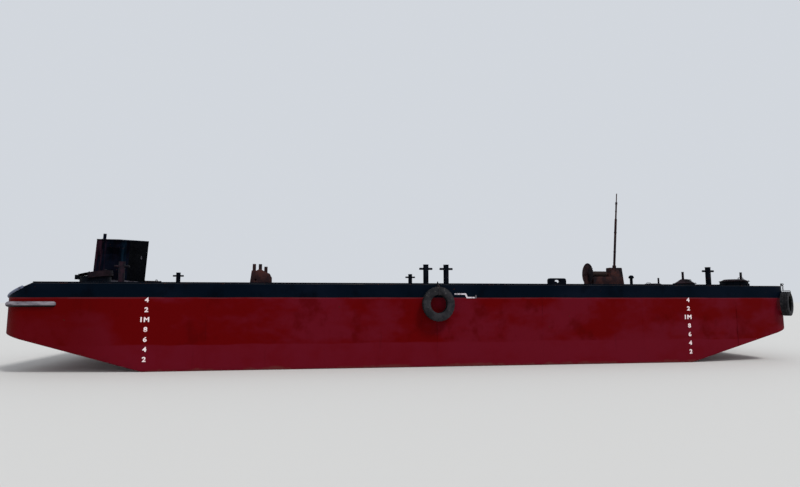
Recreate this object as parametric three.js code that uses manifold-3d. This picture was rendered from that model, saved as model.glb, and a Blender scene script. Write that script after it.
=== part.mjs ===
// A small steel deck barge: raked bow and stern, flat bottom, flat deck, tyre fenders and deck gear.
// Millimetres, +Z up. Bow towards -X, port side towards -Y. Places along X are counted from midships.
// The stern's tyres reach further out than the bow's guard, so midships lies a little fore of the origin.

import * as THREE from 'three';
import { mergeVertices } from 'three/addons/utils/BufferGeometryUtils.js';
import Module from 'manifold-3d';

const wasm = await Module();
wasm.setup();

// Hull
const MIDSHIPS = -27.31;          // puts the origin at the middle of the overall length
const HALF_LENGTH = 8860;
const BEAM = 5000;
const HALF_BEAM = BEAM / 2;
const DECK_TOP = 1790;
const DECK_THICKNESS = 10;
const KNUCKLE = 6100;             // where the flat bottom turns up into the rakes
const RAKE_TOP = 800;             // height of the rakes at the ends of the hull
const CORNER_RADIUS = 500;        // round corners of the hull, seen from above
const LIP_START = 8260;           // the bow's deck slopes down from here
const LIP_END = 1500;             // height of the sloping lip at the bow's end
const PLATE_INSET = 12;           // deck plates stop short of the side shell
const GAP = 0.3;                  // between pieces that rest on each other
const CLEAR = 5;                  // between pieces that move and the rest
const CORNER_STEPS = 10;
const ROUND = 18;

// Edge bars and guards
const GUNWALE = { bow: -8250, stern: 7000, width: 30, height: 28, inset: 34 };
const GUARD = { radius: 58, z: 1364, start: 7840, sides: 10, steps: 36 };
const LIP_BAR = { radius: 32, start: 8420, sides: 6, steps: 36 };

// Tyre fenders: outer and bead radius, width, and how oval a hung tyre is
const SIDE_TYRE = { outer: 378, bead: 196, width: 190, oval: 0.93, x: 10, z: 1360 };
const CORNER_TYRE = { outer: 295, bead: 190, width: 170, oval: 1, z: 1360, bearing: 34 };
const TYRE_RING = 8;
const TYRE_TURN = 24;
const LUG = { thickness: 12, low: 1772, high: 1854, hole: 12, holeZ: 1830, reach: 45, lip: 28 };
const ROD = 7;                    // bar of the shackles and strops
const ROD_SIDES = 6;
const SHACKLE_HALF = 22;
const STROP_CORNER = 28;

// Mooring gear
const BITT = {
  radius: 61, height: 460, cap: 8, bar: 25, barHalf: 150, barHeight: 362,
  foot: 200, footHeight: 12, inset: 300,
};
const BITTS = [
  // name, x, side (-1 port, 1 starboard)
  ['cross_bitt_bow_port', -6693, -1],
  ['cross_bitt_midship_port_fore', -190, -1],
  ['cross_bitt_midship_port_aft', 280, -1],
  ['cross_bitt_stern_port', 6870, -1],
  ['cross_bitt_bow_starboard', -6743, 1],
  ['cross_bitt_midship_starboard', 150, 1],
  ['cross_bitt_stern_starboard', 6870, 1],
];
const CHOCK = {
  x: 2871, inset: 150, length: 425, height: 160, corner: 50, depth: 120,
  holeLength: 130, holeHeight: 64, holeLow: 56,
};
const RACK = { x: -3875, inset: 450, depth: 190, foot: 12, plate: 16, post: 37, eye: 24, eyeX: -85, eyeZ: 95 };
const RACK_POSTS = [
  // x from the middle, height over the deck
  [-130, 447],
  [0, 445],
  [120, 389],
];
const RACK_CHEEK = [
  [-207, GAP], [247, GAP], [245, 150], [195, 240], [150, 258], [85, 290], [0, 340], [-70, 298], [-172, 300],
];

// Hatches with hinged lids. A lid that stands ajar rests on a prop on its coaming's rim.
const HATCH = { wall: 10, flange: 26, inset: 800, turn: 20 };
const LID = { lap: 32, thickness: 12, handle: 9, grip: 36, skirt: 8, stub: 28, stubTop: 370 };
const LID_HINGE = { pin: 9, barrel: 16, reach: 70, half: 96, lug: 22, rise: 12, inner: 20 };
const PROP = { width: 36, outer: 2, inner: 11 };
const HATCHES = [
  // name, x, side, way its hinge faces in degrees from inboard of port, radius, rim height, crown of the
  // lid and radius of its top, depth of its skirt, degrees it stands ajar, place of its stub pipe (0: none)
  ['bow_port', -7400, -1, 90, 300, 170, 0, 0, 110, 9.4, 0],
  ['aft_port', 6596, -1, 0, 240, 60, 108, 80, 0, 0, -38],
  ['stern_port', 7996, -1, 0, 310, 120, 48, 222, 0, 0, 204],
  ['bow_starboard', -7400, 1, 90, 300, 170, 0, 0, 110, 0, 0],
  ['aft_starboard', 6596, 1, 180, 240, 60, 108, 80, 0, 0, -38],
  ['stern_starboard', 7996, 1, 180, 310, 120, 48, 222, 0, 0, 204],
];
const VENT = { x: 4880, inset: 380, pipe: 34, height: 190, head: 62, headHeight: 62 };

// Winch, with its drum along the barge
const WINCH = { x: 4080, inset: 1000, shaftZ: 303, base: 20, bedHeight: 235, bedEnd: 795 };
const DRUM = { core: 62, flange: 278, farFlange: 86, plate: 12, length: 530, shaft: 26 };
const PEDESTAL = { thickness: 40, foot: 220, head: 90 };
const GEAR_CASE = { foot: 408, top: 355, height: 470, depth: 140, offset: 14 };
const MAST = {
  offset: 190, lean: 4.7, length: 1930, socket: 46,
  lower: 29, lowerLength: 1260, upper: 20, upperLength: 1700, collar: 27, tip: 13,
};

// Engine house, on two unlike skids that leave it leaning
const HOUSE = {
  x: -7631, inset: 2100, width: 763, depth: 1290, height: 1046, roofRise: 140, wall: 8, lean: 3,
};
const SKID = { width: 90, low: 46, x: 290 };
const DOOR = { left: 120, right: 650, bottom: 90, top: 950, thickness: 20, lap: 22 };
const DOOR_HINGE = { pin: 7, barrel: 14, length: 80, heights: [230, 740] };
const EXHAUST = { x: 86, y: 200, radius: 36, height: 159 };
const ENGINE = { width: 360, depth: 640, height: 460 };

const redPaint = new THREE.MeshStandardMaterial({ color: 0x5a0812, roughness: 0.55, metalness: 0.1 });
const blackPaint = new THREE.MeshStandardMaterial({ color: 0x0a1220, roughness: 0.5, metalness: 0.1 });
const greyPaint = new THREE.MeshStandardMaterial({ color: 0x5b5a60, roughness: 0.7, metalness: 0.2 });
const rustySteel = new THREE.MeshStandardMaterial({ color: 0x3e2724, roughness: 0.9, metalness: 0.3 });
const bareSteel = new THREE.MeshStandardMaterial({ color: 0x6d6a68, roughness: 0.5, metalness: 0.8 });
const rubber = new THREE.MeshStandardMaterial({ color: 0x1c1b1c, roughness: 0.9, metalness: 0.0 });

// Turns a closed geometry into a solid that can be cut and joined.
function solid(geometry) {
  const bare = geometry.index ? geometry.toNonIndexed() : geometry.clone();
  bare.deleteAttribute('normal');
  bare.deleteAttribute('uv');
  const merged = mergeVertices(bare, 1e-3);
  return new wasm.Manifold(new wasm.Mesh({
    numProp: 3,
    vertProperties: new Float32Array(merged.attributes.position.array),
    triVerts: new Uint32Array(merged.index.array),
  }));
}

function geometryOf(shape) {
  const cut = shape.getMesh();
  const geometry = new THREE.BufferGeometry();
  geometry.setAttribute('position', new THREE.BufferAttribute(new Float32Array(cut.vertProperties), 3));
  geometry.setIndex(new THREE.BufferAttribute(new Uint32Array(cut.triVerts), 1));
  geometry.computeVertexNormals();
  return geometry;
}

function join(solids) {
  return solids.reduce((whole, piece) => whole.add(piece));
}

function piece(name, shape, material, parent) {
  const mesh = new THREE.Mesh(geometryOf(shape), material);
  mesh.name = name;
  parent.add(mesh);
  return mesh;
}

function box(x0, x1, y0, y1, z0, z1) {
  const geometry = new THREE.BoxGeometry(x1 - x0, y1 - y0, z1 - z0);
  geometry.translate((x0 + x1) / 2, (y0 + y1) / 2, (z0 + z1) / 2);
  return solid(geometry);
}

// A round post from z0 to z1, or a cone if it has another radius at the top.
function upright(radius, z0, z1, x = 0, y = 0, sides = ROUND, topRadius = radius) {
  const geometry = new THREE.CylinderGeometry(topRadius, radius, z1 - z0, sides);
  geometry.rotateX(Math.PI / 2);
  geometry.translate(x, y, (z0 + z1) / 2);
  return solid(geometry);
}

function barAlongX(radius, x0, x1, y, z, sides = ROUND) {
  const geometry = new THREE.CylinderGeometry(radius, radius, x1 - x0, sides);
  geometry.rotateZ(Math.PI / 2);
  geometry.translate((x0 + x1) / 2, y, z);
  return solid(geometry);
}

// An outline in X and Z, carried across the barge from y0 to y1.
function slabAcross(points, y0, y1) {
  const outline = new THREE.Shape(points.map(([x, z]) => new THREE.Vector2(x, z)));
  const geometry = new THREE.ExtrudeGeometry(outline, { depth: y1 - y0, bevelEnabled: false });
  geometry.rotateX(Math.PI / 2);
  geometry.translate(0, y1, 0);
  return solid(geometry);
}

// The hull seen from above, drawn in by an inset, between two heights.
function planPrism(inset, z0, z1) {
  const x = HALF_LENGTH - inset;
  const y = HALF_BEAM - inset;
  const r = CORNER_RADIUS - inset;
  const outline = new THREE.Shape();
  outline.moveTo(-x + r, -y);
  outline.absarc(x - r, -y + r, r, -Math.PI / 2, 0);
  outline.absarc(x - r, y - r, r, 0, Math.PI / 2);
  outline.absarc(-x + r, y - r, r, Math.PI / 2, Math.PI);
  outline.absarc(-x + r, -y + r, r, Math.PI, Math.PI * 1.5);
  const geometry = new THREE.ExtrudeGeometry(outline, {
    depth: z1 - z0, bevelEnabled: false, curveSegments: CORNER_STEPS,
  });
  geometry.translate(0, 0, z0);
  return solid(geometry);
}

function tubeAlong(curve, radius, sides, steps) {
  const section = new THREE.Shape();
  section.absarc(0, 0, radius, 0, Math.PI * 2);
  return solid(new THREE.ExtrudeGeometry(section, {
    extrudePath: curve, steps, bevelEnabled: false, curveSegments: sides / 2,
  }));
}

function ball(radius, x, y, z) {
  const geometry = new THREE.SphereGeometry(radius, 16, 10);
  geometry.translate(x, y, z);
  return solid(geometry);
}

// Height of the sloping bow lip at a distance fore of midships.
function lipHeight(fore) {
  const along = (fore - LIP_START) / (HALF_LENGTH - LIP_START);
  return DECK_TOP - Math.max(0, along) * (DECK_TOP - LIP_END);
}

// A line round the bow on the shell, from port to starboard, at a height given by a function.
class BowLine extends THREE.Curve {
  constructor(start, heightAt) {
    super();
    const y = HALF_BEAM;
    const r = CORNER_RADIUS;
    const bow = -HALF_LENGTH + r;
    const into = Math.asin(Math.max(0, start + bow) / r);
    this.plan = new THREE.Path();
    if (start < -bow) {
      this.plan.moveTo(-start, -y);
      this.plan.lineTo(bow, -y);
    }
    this.plan.absarc(bow, -y + r, r, -Math.PI / 2 - into, -Math.PI, true);
    this.plan.absarc(bow, y - r, r, Math.PI, Math.PI / 2 + into, true);
    if (start < -bow) {
      this.plan.lineTo(-start, y);
    }
    this.heightAt = heightAt;
  }

  getPoint(t, target = new THREE.Vector3()) {
    const at = this.plan.getPointAt(t);
    return target.set(at.x, at.y, this.heightAt(-at.x));
  }
}

const whole = new THREE.Group();
whole.name = 'river_barge';
const barge = new THREE.Group();
barge.position.x = MIDSHIPS;
whole.add(barge);

// Hull: bottom, rakes, sides and ends as one plated body
function buildHull() {
  const under = DECK_TOP - DECK_THICKNESS;
  const lipUnder = lipHeight(HALF_LENGTH) - DECK_THICKNESS;
  const side = slabAcross([
    [-KNUCKLE, 0], [KNUCKLE, 0], [HALF_LENGTH, RAKE_TOP], [HALF_LENGTH, under],
    [-LIP_START, under], [-HALF_LENGTH, lipUnder], [-HALF_LENGTH, RAKE_TOP],
  ], -HALF_BEAM, HALF_BEAM);
  piece('hull', side.intersect(planPrism(0, 0, DECK_TOP)), redPaint, barge);
}

function buildDeck() {
  const seat = DECK_TOP - DECK_THICKNESS + GAP;
  const seam = -LIP_START + 2;
  const plates = planPrism(PLATE_INSET, seat, DECK_TOP);
  piece('deck_plate', plates.intersect(
    box(seam, HALF_LENGTH, -BEAM, BEAM, 0, BEAM)), blackPaint, barge);

  const low = lipHeight(HALF_LENGTH);
  const high = lipHeight(LIP_START + 2);
  const under = GAP - DECK_THICKNESS;
  const lip = slabAcross([
    [-HALF_LENGTH, low + under], [seam - 4, high + under], [seam - 4, high], [-HALF_LENGTH, low],
  ], -HALF_BEAM, HALF_BEAM);
  piece('bow_lip_plate', lip.intersect(planPrism(PLATE_INSET, 0, DECK_TOP)), blackPaint, barge);

  for (const [name, side] of [['port', -1], ['starboard', 1]]) {
    const y = side * (HALF_BEAM - GUNWALE.inset);
    piece(`gunwale_bar_${name}`, box(
      GUNWALE.bow, GUNWALE.stern, y - GUNWALE.width / 2, y + GUNWALE.width / 2,
      DECK_TOP + GAP, DECK_TOP + GUNWALE.height), blackPaint, barge);
  }
}

// Half-round guards welded round the bow: a fat one low down, and a thin one on the lip's edge
function buildBowGuards() {
  const shell = planPrism(-GAP, 0, BEAM);
  const guardLine = new BowLine(GUARD.start, () => GUARD.z);
  const guard = join([
    tubeAlong(guardLine, GUARD.radius, GUARD.sides, GUARD.steps),
    ball(GUARD.radius * 0.995, -GUARD.start, -HALF_BEAM, GUARD.z),
    ball(GUARD.radius * 0.995, -GUARD.start, HALF_BEAM, GUARD.z),
  ]);
  piece('bow_guard', guard.subtract(shell), greyPaint, barge);

  const lipLine = new BowLine(LIP_BAR.start, lipHeight);
  const bar = tubeAlong(lipLine, LIP_BAR.radius, LIP_BAR.sides, LIP_BAR.steps);
  piece('bow_lip_bar', bar.subtract(shell), greyPaint, barge);
}

// A tyre as a thick ring about Y, with rounded shoulders
function tyreRing(tyre) {
  const middle = (tyre.outer + tyre.bead) / 2;
  const halfDepth = (tyre.outer - tyre.bead) / 2;
  const corner = (value) => Math.sign(value) * Math.abs(value) ** 0.62;
  const profile = [];
  for (let i = 0; i <= TYRE_RING; i += 1) {
    const angle = (i % TYRE_RING) / TYRE_RING * Math.PI * 2;
    profile.push(new THREE.Vector2(
      middle + halfDepth * corner(Math.cos(angle)),
      tyre.width / 2 * corner(Math.sin(angle))));
  }
  const geometry = new THREE.LatheGeometry(profile, TYRE_TURN);
  geometry.scale(tyre.oval, 1, 1);
  return solid(geometry);
}

// A round bar bent to a closed loop through flat points [u, v], with u along X and v up.
function loopBar(points) {
  const count = points.length;
  const position = [];
  const index = [];
  points.forEach(([u, v], i) => {
    const here = new THREE.Vector2(u, v);
    const before = here.clone().sub(new THREE.Vector2(...points[(i + count - 1) % count])).normalize();
    const after = new THREE.Vector2(...points[(i + 1) % count]).sub(here).normalize();
    const along = before.clone().add(after).normalize();
    const mitre = ROD / along.dot(after);
    for (let k = 0; k < ROD_SIDES; k += 1) {
      const angle = k / ROD_SIDES * Math.PI * 2;
      position.push(
        u + along.y * mitre * Math.cos(angle), ROD * Math.sin(angle), v - along.x * mitre * Math.cos(angle));
      const a = i * ROD_SIDES + k;
      const b = i * ROD_SIDES + (k + 1) % ROD_SIDES;
      const c = ((i + 1) % count) * ROD_SIDES + k;
      const d = ((i + 1) % count) * ROD_SIDES + (k + 1) % ROD_SIDES;
      index.push(a, b, c, b, d, c);
    }
  });
  const geometry = new THREE.BufferGeometry();
  geometry.setAttribute('position', new THREE.Float32BufferAttribute(position, 3));
  geometry.setIndex(index);
  return geometry;
}

// Points round a rectangle with round corners, counter-clockwise
function roundedLoop(u0, u1, v0, v1, radius) {
  const corners = [[u1, v1, 0], [u0, v1, 1], [u0, v0, 2], [u1, v0, 3]];
  return corners.flatMap(([u, v, quarter]) => [0, 1, 2].map((step) => {
    const angle = (quarter + step / 2) * Math.PI / 2;
    const centreU = u === u1 ? u1 - radius : u0 + radius;
    const centreV = v === v1 ? v1 - radius : v0 + radius;
    return [centreU + radius * Math.cos(angle), centreV + radius * Math.sin(angle)];
  }));
}

// The shell is at y = 0, outboard to -Y. A lug on the shell's top edge holds a shackle,
// and the shackle holds a strop that runs round the top of the tyre.
function hangTyre(name, tyre, x, y, heading) {
  const place = new THREE.Group();
  place.position.set(x, y, 0);
  place.rotation.z = heading;
  barge.add(place);
  const back = 2 * (ROD + GAP);
  const reach = back + tyre.width / 2;
  const ring = piece(`${name}_tyre`, tyreRing(tyre), rubber, place);
  ring.position.set(0, -reach, tyre.z);

  const plate = box(-LUG.thickness / 2, LUG.thickness / 2, -LUG.reach - LUG.lip, -GAP, LUG.low, LUG.high);
  const hole = barAlongX(LUG.hole, -LUG.thickness, LUG.thickness, -LUG.reach, LUG.holeZ, 16);
  piece(`${name}_tyre_lug`, plate.subtract(hole), blackPaint, place);

  const droop = (LUG.thickness / 2 + 1) * Math.tan(Math.PI / 8);
  const high = LUG.holeZ - LUG.hole * Math.cos(Math.PI / 16) + ROD + GAP + droop;
  const low = tyre.z + tyre.outer + GAP + ROD;
  const link = roundedLoop(-SHACKLE_HALF, SHACKLE_HALF, low, high, SHACKLE_HALF - 1);
  const shackle = piece(`${name}_tyre_shackle`, solid(loopBar(link)), bareSteel, place);
  shackle.position.y = -LUG.reach;

  const stropTop = low + 2 * ROD + GAP;
  const stropLow = tyre.z + tyre.bead - GAP - ROD;
  const loop = roundedLoop(-reach - tyre.width / 2 - ROD - GAP, -ROD - GAP, stropLow, stropTop, STROP_CORNER);
  const strop = loopBar(loop);
  strop.rotateZ(Math.PI / 2);
  piece(`${name}_tyre_strop`, solid(strop), bareSteel, place);
}

function buildFenders() {
  hangTyre('side_port', SIDE_TYRE, SIDE_TYRE.x, -HALF_BEAM, 0);
  hangTyre('side_starboard', SIDE_TYRE, SIDE_TYRE.x, HALF_BEAM, Math.PI);
  const centre = HALF_LENGTH - CORNER_RADIUS;
  for (const [name, side] of [['stern_port', -1], ['stern_starboard', 1]]) {
    const bearing = THREE.MathUtils.degToRad(CORNER_TYRE.bearing);
    const turn = side < 0 ? bearing : Math.PI - bearing;
    hangTyre(name, CORNER_TYRE,
      centre + CORNER_RADIUS * Math.sin(turn),
      side * (HALF_BEAM - CORNER_RADIUS) - CORNER_RADIUS * Math.cos(turn), turn);
  }
}

// A mooring post with a bar through it, welded on a square foot plate
function bittSolid() {
  return join([
    box(-BITT.foot / 2, BITT.foot / 2, -BITT.foot / 2, BITT.foot / 2, GAP, BITT.footHeight),
    upright(BITT.radius, BITT.footHeight - 1, BITT.height - BITT.cap),
    upright(BITT.radius + 5, BITT.height - BITT.cap - 1, BITT.height),
    barAlongX(BITT.bar, -BITT.barHalf, BITT.barHalf, 0, BITT.barHeight, 12),
  ]);
}

function chockSolid() {
  const ring = (length, height, r, y0, y1) => {
    const x = length / 2 - r;
    const shape = new THREE.Shape();
    shape.absarc(x, r, r, -Math.PI / 2, 0);
    shape.absarc(x, height - r, r, 0, Math.PI / 2);
    shape.absarc(-x, height - r, r, Math.PI / 2, Math.PI);
    shape.absarc(-x, r, r, Math.PI, Math.PI * 1.5);
    const geometry = new THREE.ExtrudeGeometry(shape, {
      depth: y1 - y0, bevelEnabled: false, curveSegments: 6,
    });
    geometry.rotateX(Math.PI / 2);
    geometry.translate(0, y1, 0);
    return geometry;
  };
  const half = CHOCK.depth / 2;
  const body = solid(ring(CHOCK.length, CHOCK.height, CHOCK.corner, -half, half).translate(0, 0, GAP));
  const foot = box(-CHOCK.length / 2 + 30, CHOCK.length / 2 - 30, -half - 15, half + 15, GAP, 26);
  const mouth = CHOCK.holeHeight / 2 - 0.1;
  const hole = solid(ring(CHOCK.holeLength, CHOCK.holeHeight, mouth, -2 * half, 2 * half)
    .translate(0, 0, CHOCK.holeLow));
  return join([body, foot]).subtract(hole);
}

// Two shaped plates on a foot, with an eye through the outboard one and three posts between them
function rackSolid() {
  const y = RACK.depth / 2;
  const eye = upright(RACK.eye, -BEAM, BEAM, 0, 0, 14).rotate([90, 0, 0]).translate([RACK.eyeX, 0, RACK.eyeZ]);
  const cheeks = [
    slabAcross(RACK_CHEEK, -y, -y + RACK.plate).subtract(eye),
    slabAcross(RACK_CHEEK, y - RACK.plate, y),
  ];
  const foot = box(RACK_CHEEK[0][0] - 10, RACK_CHEEK[1][0] + 10, -y - 10, y + 10, GAP, RACK.foot);
  const posts = RACK_POSTS.map(([x, height]) => upright(RACK.post, RACK.foot - 1, height, x, 0, 16));
  const ties = RACK_POSTS.map(([x]) => box(x - 12, x + 12, -y + 1, y - 1, 150, 200));
  return join([...cheeks, foot, ...posts, ...ties]);
}

function buildMooringGear() {
  for (const [name, x, side] of BITTS) {
    const bitt = piece(name, bittSolid(), blackPaint, barge);
    bitt.position.set(x, side * (HALF_BEAM - BITT.inset), DECK_TOP);
  }
  for (const [name, side] of [['chock_port', -1], ['chock_starboard', 1]]) {
    const chock = piece(name, chockSolid(), blackPaint, barge);
    chock.position.set(CHOCK.x, side * (HALF_BEAM - CHOCK.inset), DECK_TOP);
  }
  const rack = piece('three_post_rack', rackSolid(), rustySteel, barge);
  rack.position.set(RACK.x, -(HALF_BEAM - RACK.inset), DECK_TOP);
}

// Coaming: a round wall with a flange, and two lugs that carry the hinge pin on its +Y side
function coamingSolid(radius, rim) {
  const wall = upright(radius, GAP, rim, 0, 0, HATCH.turn);
  const flange = upright(radius + HATCH.flange, GAP, 12, 0, 0, HATCH.turn);
  const hollow = upright(radius - HATCH.wall, -1, rim + 1, 0, 0, HATCH.turn);
  const reach = radius + LID_HINGE.reach;
  const pinZ = rim + LID_HINGE.rise;
  const lugs = [-1, 1].map((end) => {
    const inner = end * (LID_HINGE.half - LID_HINGE.lug);
    const outer = end * LID_HINGE.half;
    return box(Math.min(inner, outer), Math.max(inner, outer), radius - LID_HINGE.inner,
      reach + LID_HINGE.barrel, Math.max(11, rim - 74), pinZ + LID_HINGE.barrel);
  });
  const pin = barAlongX(LID_HINGE.pin, -LID_HINGE.half, LID_HINGE.half, reach, pinZ, 12);
  return join([wall, flange]).subtract(hollow).add(join([...lugs, pin]));
}

// Lid: a round plate with a strap to its hinge barrel and a lifting grip. It is crowned like a low
// cone, or flat with a skirt that hangs round the coaming except at the hinge.
function lidSolid(radius, rim, crown, topRadius, skirt, stubX) {
  const edge = radius + LID.lap;
  const reach = radius + LID_HINGE.reach;
  const under = rim + CLEAR;
  const pinZ = rim + LID_HINGE.rise;
  const top = under + LID.thickness;
  const gripY = 90 - radius;
  const slope = crown / (radius - topRadius);
  const grip = top + Math.min(crown, slope * (radius - Math.hypot(70, gripY))) + LID.grip;
  const half = LID_HINGE.half - LID_HINGE.lug - CLEAR;
  const parts = [
    upright(edge, under, top, 0, 0, HATCH.turn),
    box(-half, half, radius - 140, reach, under, top + 4),
    barAlongX(LID_HINGE.barrel, -half, half, reach, pinZ, 12),
    upright(LID.handle, top, grip, -70, gripY, 8),
    upright(LID.handle, top, grip, 70, gripY, 8),
    barAlongX(LID.handle, -79, 79, gripY, grip, 8),
  ];
  if (crown > 0) {
    parts.push(upright(radius, top - 1, top + crown, 0, 0, HATCH.turn, topRadius));
  }
  if (skirt > 0) {
    parts.push(upright(edge, under - skirt, under + 1, 0, 0, HATCH.turn)
      .subtract(upright(edge - LID.skirt, 0, under + 2, 0, 0, HATCH.turn))
      .subtract(box(-BEAM, BEAM, 40, BEAM, 0, BEAM)));
  }
  if (stubX !== 0) {
    parts.push(upright(LID.stub, top, LID.stubTop, stubX, 0, 14));
  }
  const reliefs = [-1, 1].map((end) => {
    const inner = end * (half + GAP);
    const outer = end * (LID_HINGE.half + CLEAR);
    return box(Math.min(inner, outer), Math.max(inner, outer),
      radius - LID_HINGE.inner - CLEAR, BEAM, 0, BEAM);
  });
  const bore = barAlongX(LID_HINGE.pin + 0.6, -half - 1, half + 1, reach, pinZ, 12);
  return join(parts).subtract(join([...reliefs, bore]));
}

// A flat bar on the rim, just under the lid that stands ajar on it
function propSolid(radius, rim, ajar) {
  const near = radius - PROP.inner;
  const under = CLEAR - LID_HINGE.rise;
  const along = (radius + LID_HINGE.reach + near + under * Math.sin(ajar)) / Math.cos(ajar);
  const top = rim + LID_HINGE.rise + along * Math.sin(ajar) + under * Math.cos(ajar);
  return box(-PROP.width / 2, PROP.width / 2, PROP.outer - radius, -near, rim + GAP, top - GAP);
}

function buildHatches() {
  for (const [name, x, side, heading, radius, rim, crown, topRadius, skirt, ajarDegrees, stubX] of HATCHES) {
    const ajar = THREE.MathUtils.degToRad(ajarDegrees);
    const place = new THREE.Group();
    place.position.set(x, side * (HALF_BEAM - HATCH.inset), DECK_TOP);
    place.rotation.z = THREE.MathUtils.degToRad(heading);
    barge.add(place);
    piece(`hatch_coaming_${name}`, coamingSolid(radius, rim), blackPaint, place);

    const reach = radius + LID_HINGE.reach;
    const hinge = new THREE.Group();
    hinge.position.set(0, reach, rim + LID_HINGE.rise);
    hinge.rotation.x = -ajar;
    place.add(hinge);
    const shape = lidSolid(radius, rim, crown, topRadius, skirt, stubX * -side);
    const lid = piece(`hatch_lid_${name}`, shape, rustySteel, hinge);
    lid.position.set(0, -reach, -rim - LID_HINGE.rise);
    if (ajar > 0) {
      piece(`hatch_prop_${name}`, propSolid(radius, rim, ajar), rustySteel, place);
    }
  }
}

function buildVents() {
  for (const [name, side] of [['port', -1], ['starboard', 1]]) {
    const vent = join([
      upright(VENT.pipe, GAP, VENT.height, 0, 0, 14),
      upright(VENT.head, VENT.height - 12, VENT.height + 16, 0, 0, 14),
      upright(VENT.head, VENT.height + 15, VENT.height + VENT.headHeight, 0, 0, 14, VENT.head * 0.55),
    ]);
    const mesh = piece(`mushroom_vent_${name}`, vent, blackPaint, barge);
    mesh.position.set(VENT.x, side * (HALF_BEAM - VENT.inset), DECK_TOP);
  }
}

// Winch: a frame of base plate, bearing pedestal and gear case, with the drum between them
function buildWinch() {
  const place = new THREE.Group();
  place.position.set(WINCH.x, -(HALF_BEAM - WINCH.inset), DECK_TOP);
  barge.add(place);
  const drumEnd = DRUM.length;
  const caseStart = drumEnd + GEAR_CASE.offset;
  const pedestalEnd = -CLEAR - 2;
  const pedestalStart = pedestalEnd - PEDESTAL.thickness;
  const caseEnd = caseStart + GEAR_CASE.foot;
  const base = box(pedestalStart - 20, caseEnd + 20, -250, 250, GAP, WINCH.base);

  const pedestalShape = new THREE.Shape([
    new THREE.Vector2(-PEDESTAL.foot / 2, WINCH.base - 1),
    new THREE.Vector2(PEDESTAL.foot / 2, WINCH.base - 1),
    new THREE.Vector2(PEDESTAL.head / 2, WINCH.shaftZ + 50),
    new THREE.Vector2(-PEDESTAL.head / 2, WINCH.shaftZ + 50),
  ]);
  const pedestalGeometry = new THREE.ExtrudeGeometry(pedestalShape, {
    depth: PEDESTAL.thickness, bevelEnabled: false,
  });
  pedestalGeometry.rotateX(Math.PI / 2);
  pedestalGeometry.rotateZ(Math.PI / 2);
  pedestalGeometry.translate(pedestalStart, 0, 0);
  const pedestal = solid(pedestalGeometry);

  const caseSolid = slabAcross([
    [caseStart, WINCH.base - 1], [caseEnd, WINCH.base - 1],
    [caseStart + GEAR_CASE.top, GEAR_CASE.height], [caseStart + 4, GEAR_CASE.height],
  ], -GEAR_CASE.depth / 2, GEAR_CASE.depth / 2);
  const bore = barAlongX(DRUM.shaft + 0.6, pedestalStart - 1, caseStart + 60, 0, WINCH.shaftZ, 16);
  const beds = [-250, 238].map((y) => box(30, WINCH.bedEnd, y, y + 12, WINCH.base - 1, WINCH.bedHeight));
  piece('winch_frame', join([base, pedestal, caseSolid, ...beds]).subtract(bore), rustySteel, place);

  const drum = join([
    barAlongX(DRUM.core, 0, drumEnd, 0, WINCH.shaftZ, 20),
    barAlongX(DRUM.flange, 0, DRUM.plate, 0, WINCH.shaftZ, 28),
    barAlongX(DRUM.farFlange, drumEnd - DRUM.plate, drumEnd, 0, WINCH.shaftZ, 28),
    barAlongX(DRUM.shaft, pedestalStart - 12, caseStart + 52, 0, WINCH.shaftZ, 16),
  ]);
  piece('winch_drum', drum, rustySteel, place);

  // The pole stands in a socket on the gear case, and leans aft
  const lean = THREE.MathUtils.degToRad(MAST.lean);
  const pole = join([
    upright(MAST.socket, GAP, 60, 0, 0, 16),
    upright(MAST.lower, 59, MAST.lowerLength, 0, 0, 16),
    upright(MAST.upper, MAST.lowerLength - 1, MAST.upperLength, 0, 0, 12),
    upright(MAST.collar, MAST.upperLength - 60, MAST.upperLength, 0, 0, 12),
    upright(MAST.tip, MAST.upperLength - 1, MAST.length, 0, 0, 12),
  ]);
  const seat = box(-200, 200, -200, 200, -100, GAP);
  const pivot = new THREE.Matrix4().makeRotationY(lean);
  const leaning = solid(geometryOf(pole).applyMatrix4(pivot)).subtract(seat);
  const mast = piece('pole_mast', leaning, rustySteel, place);
  mast.position.set(caseStart + MAST.offset, 0, GEAR_CASE.height);
}

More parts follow.
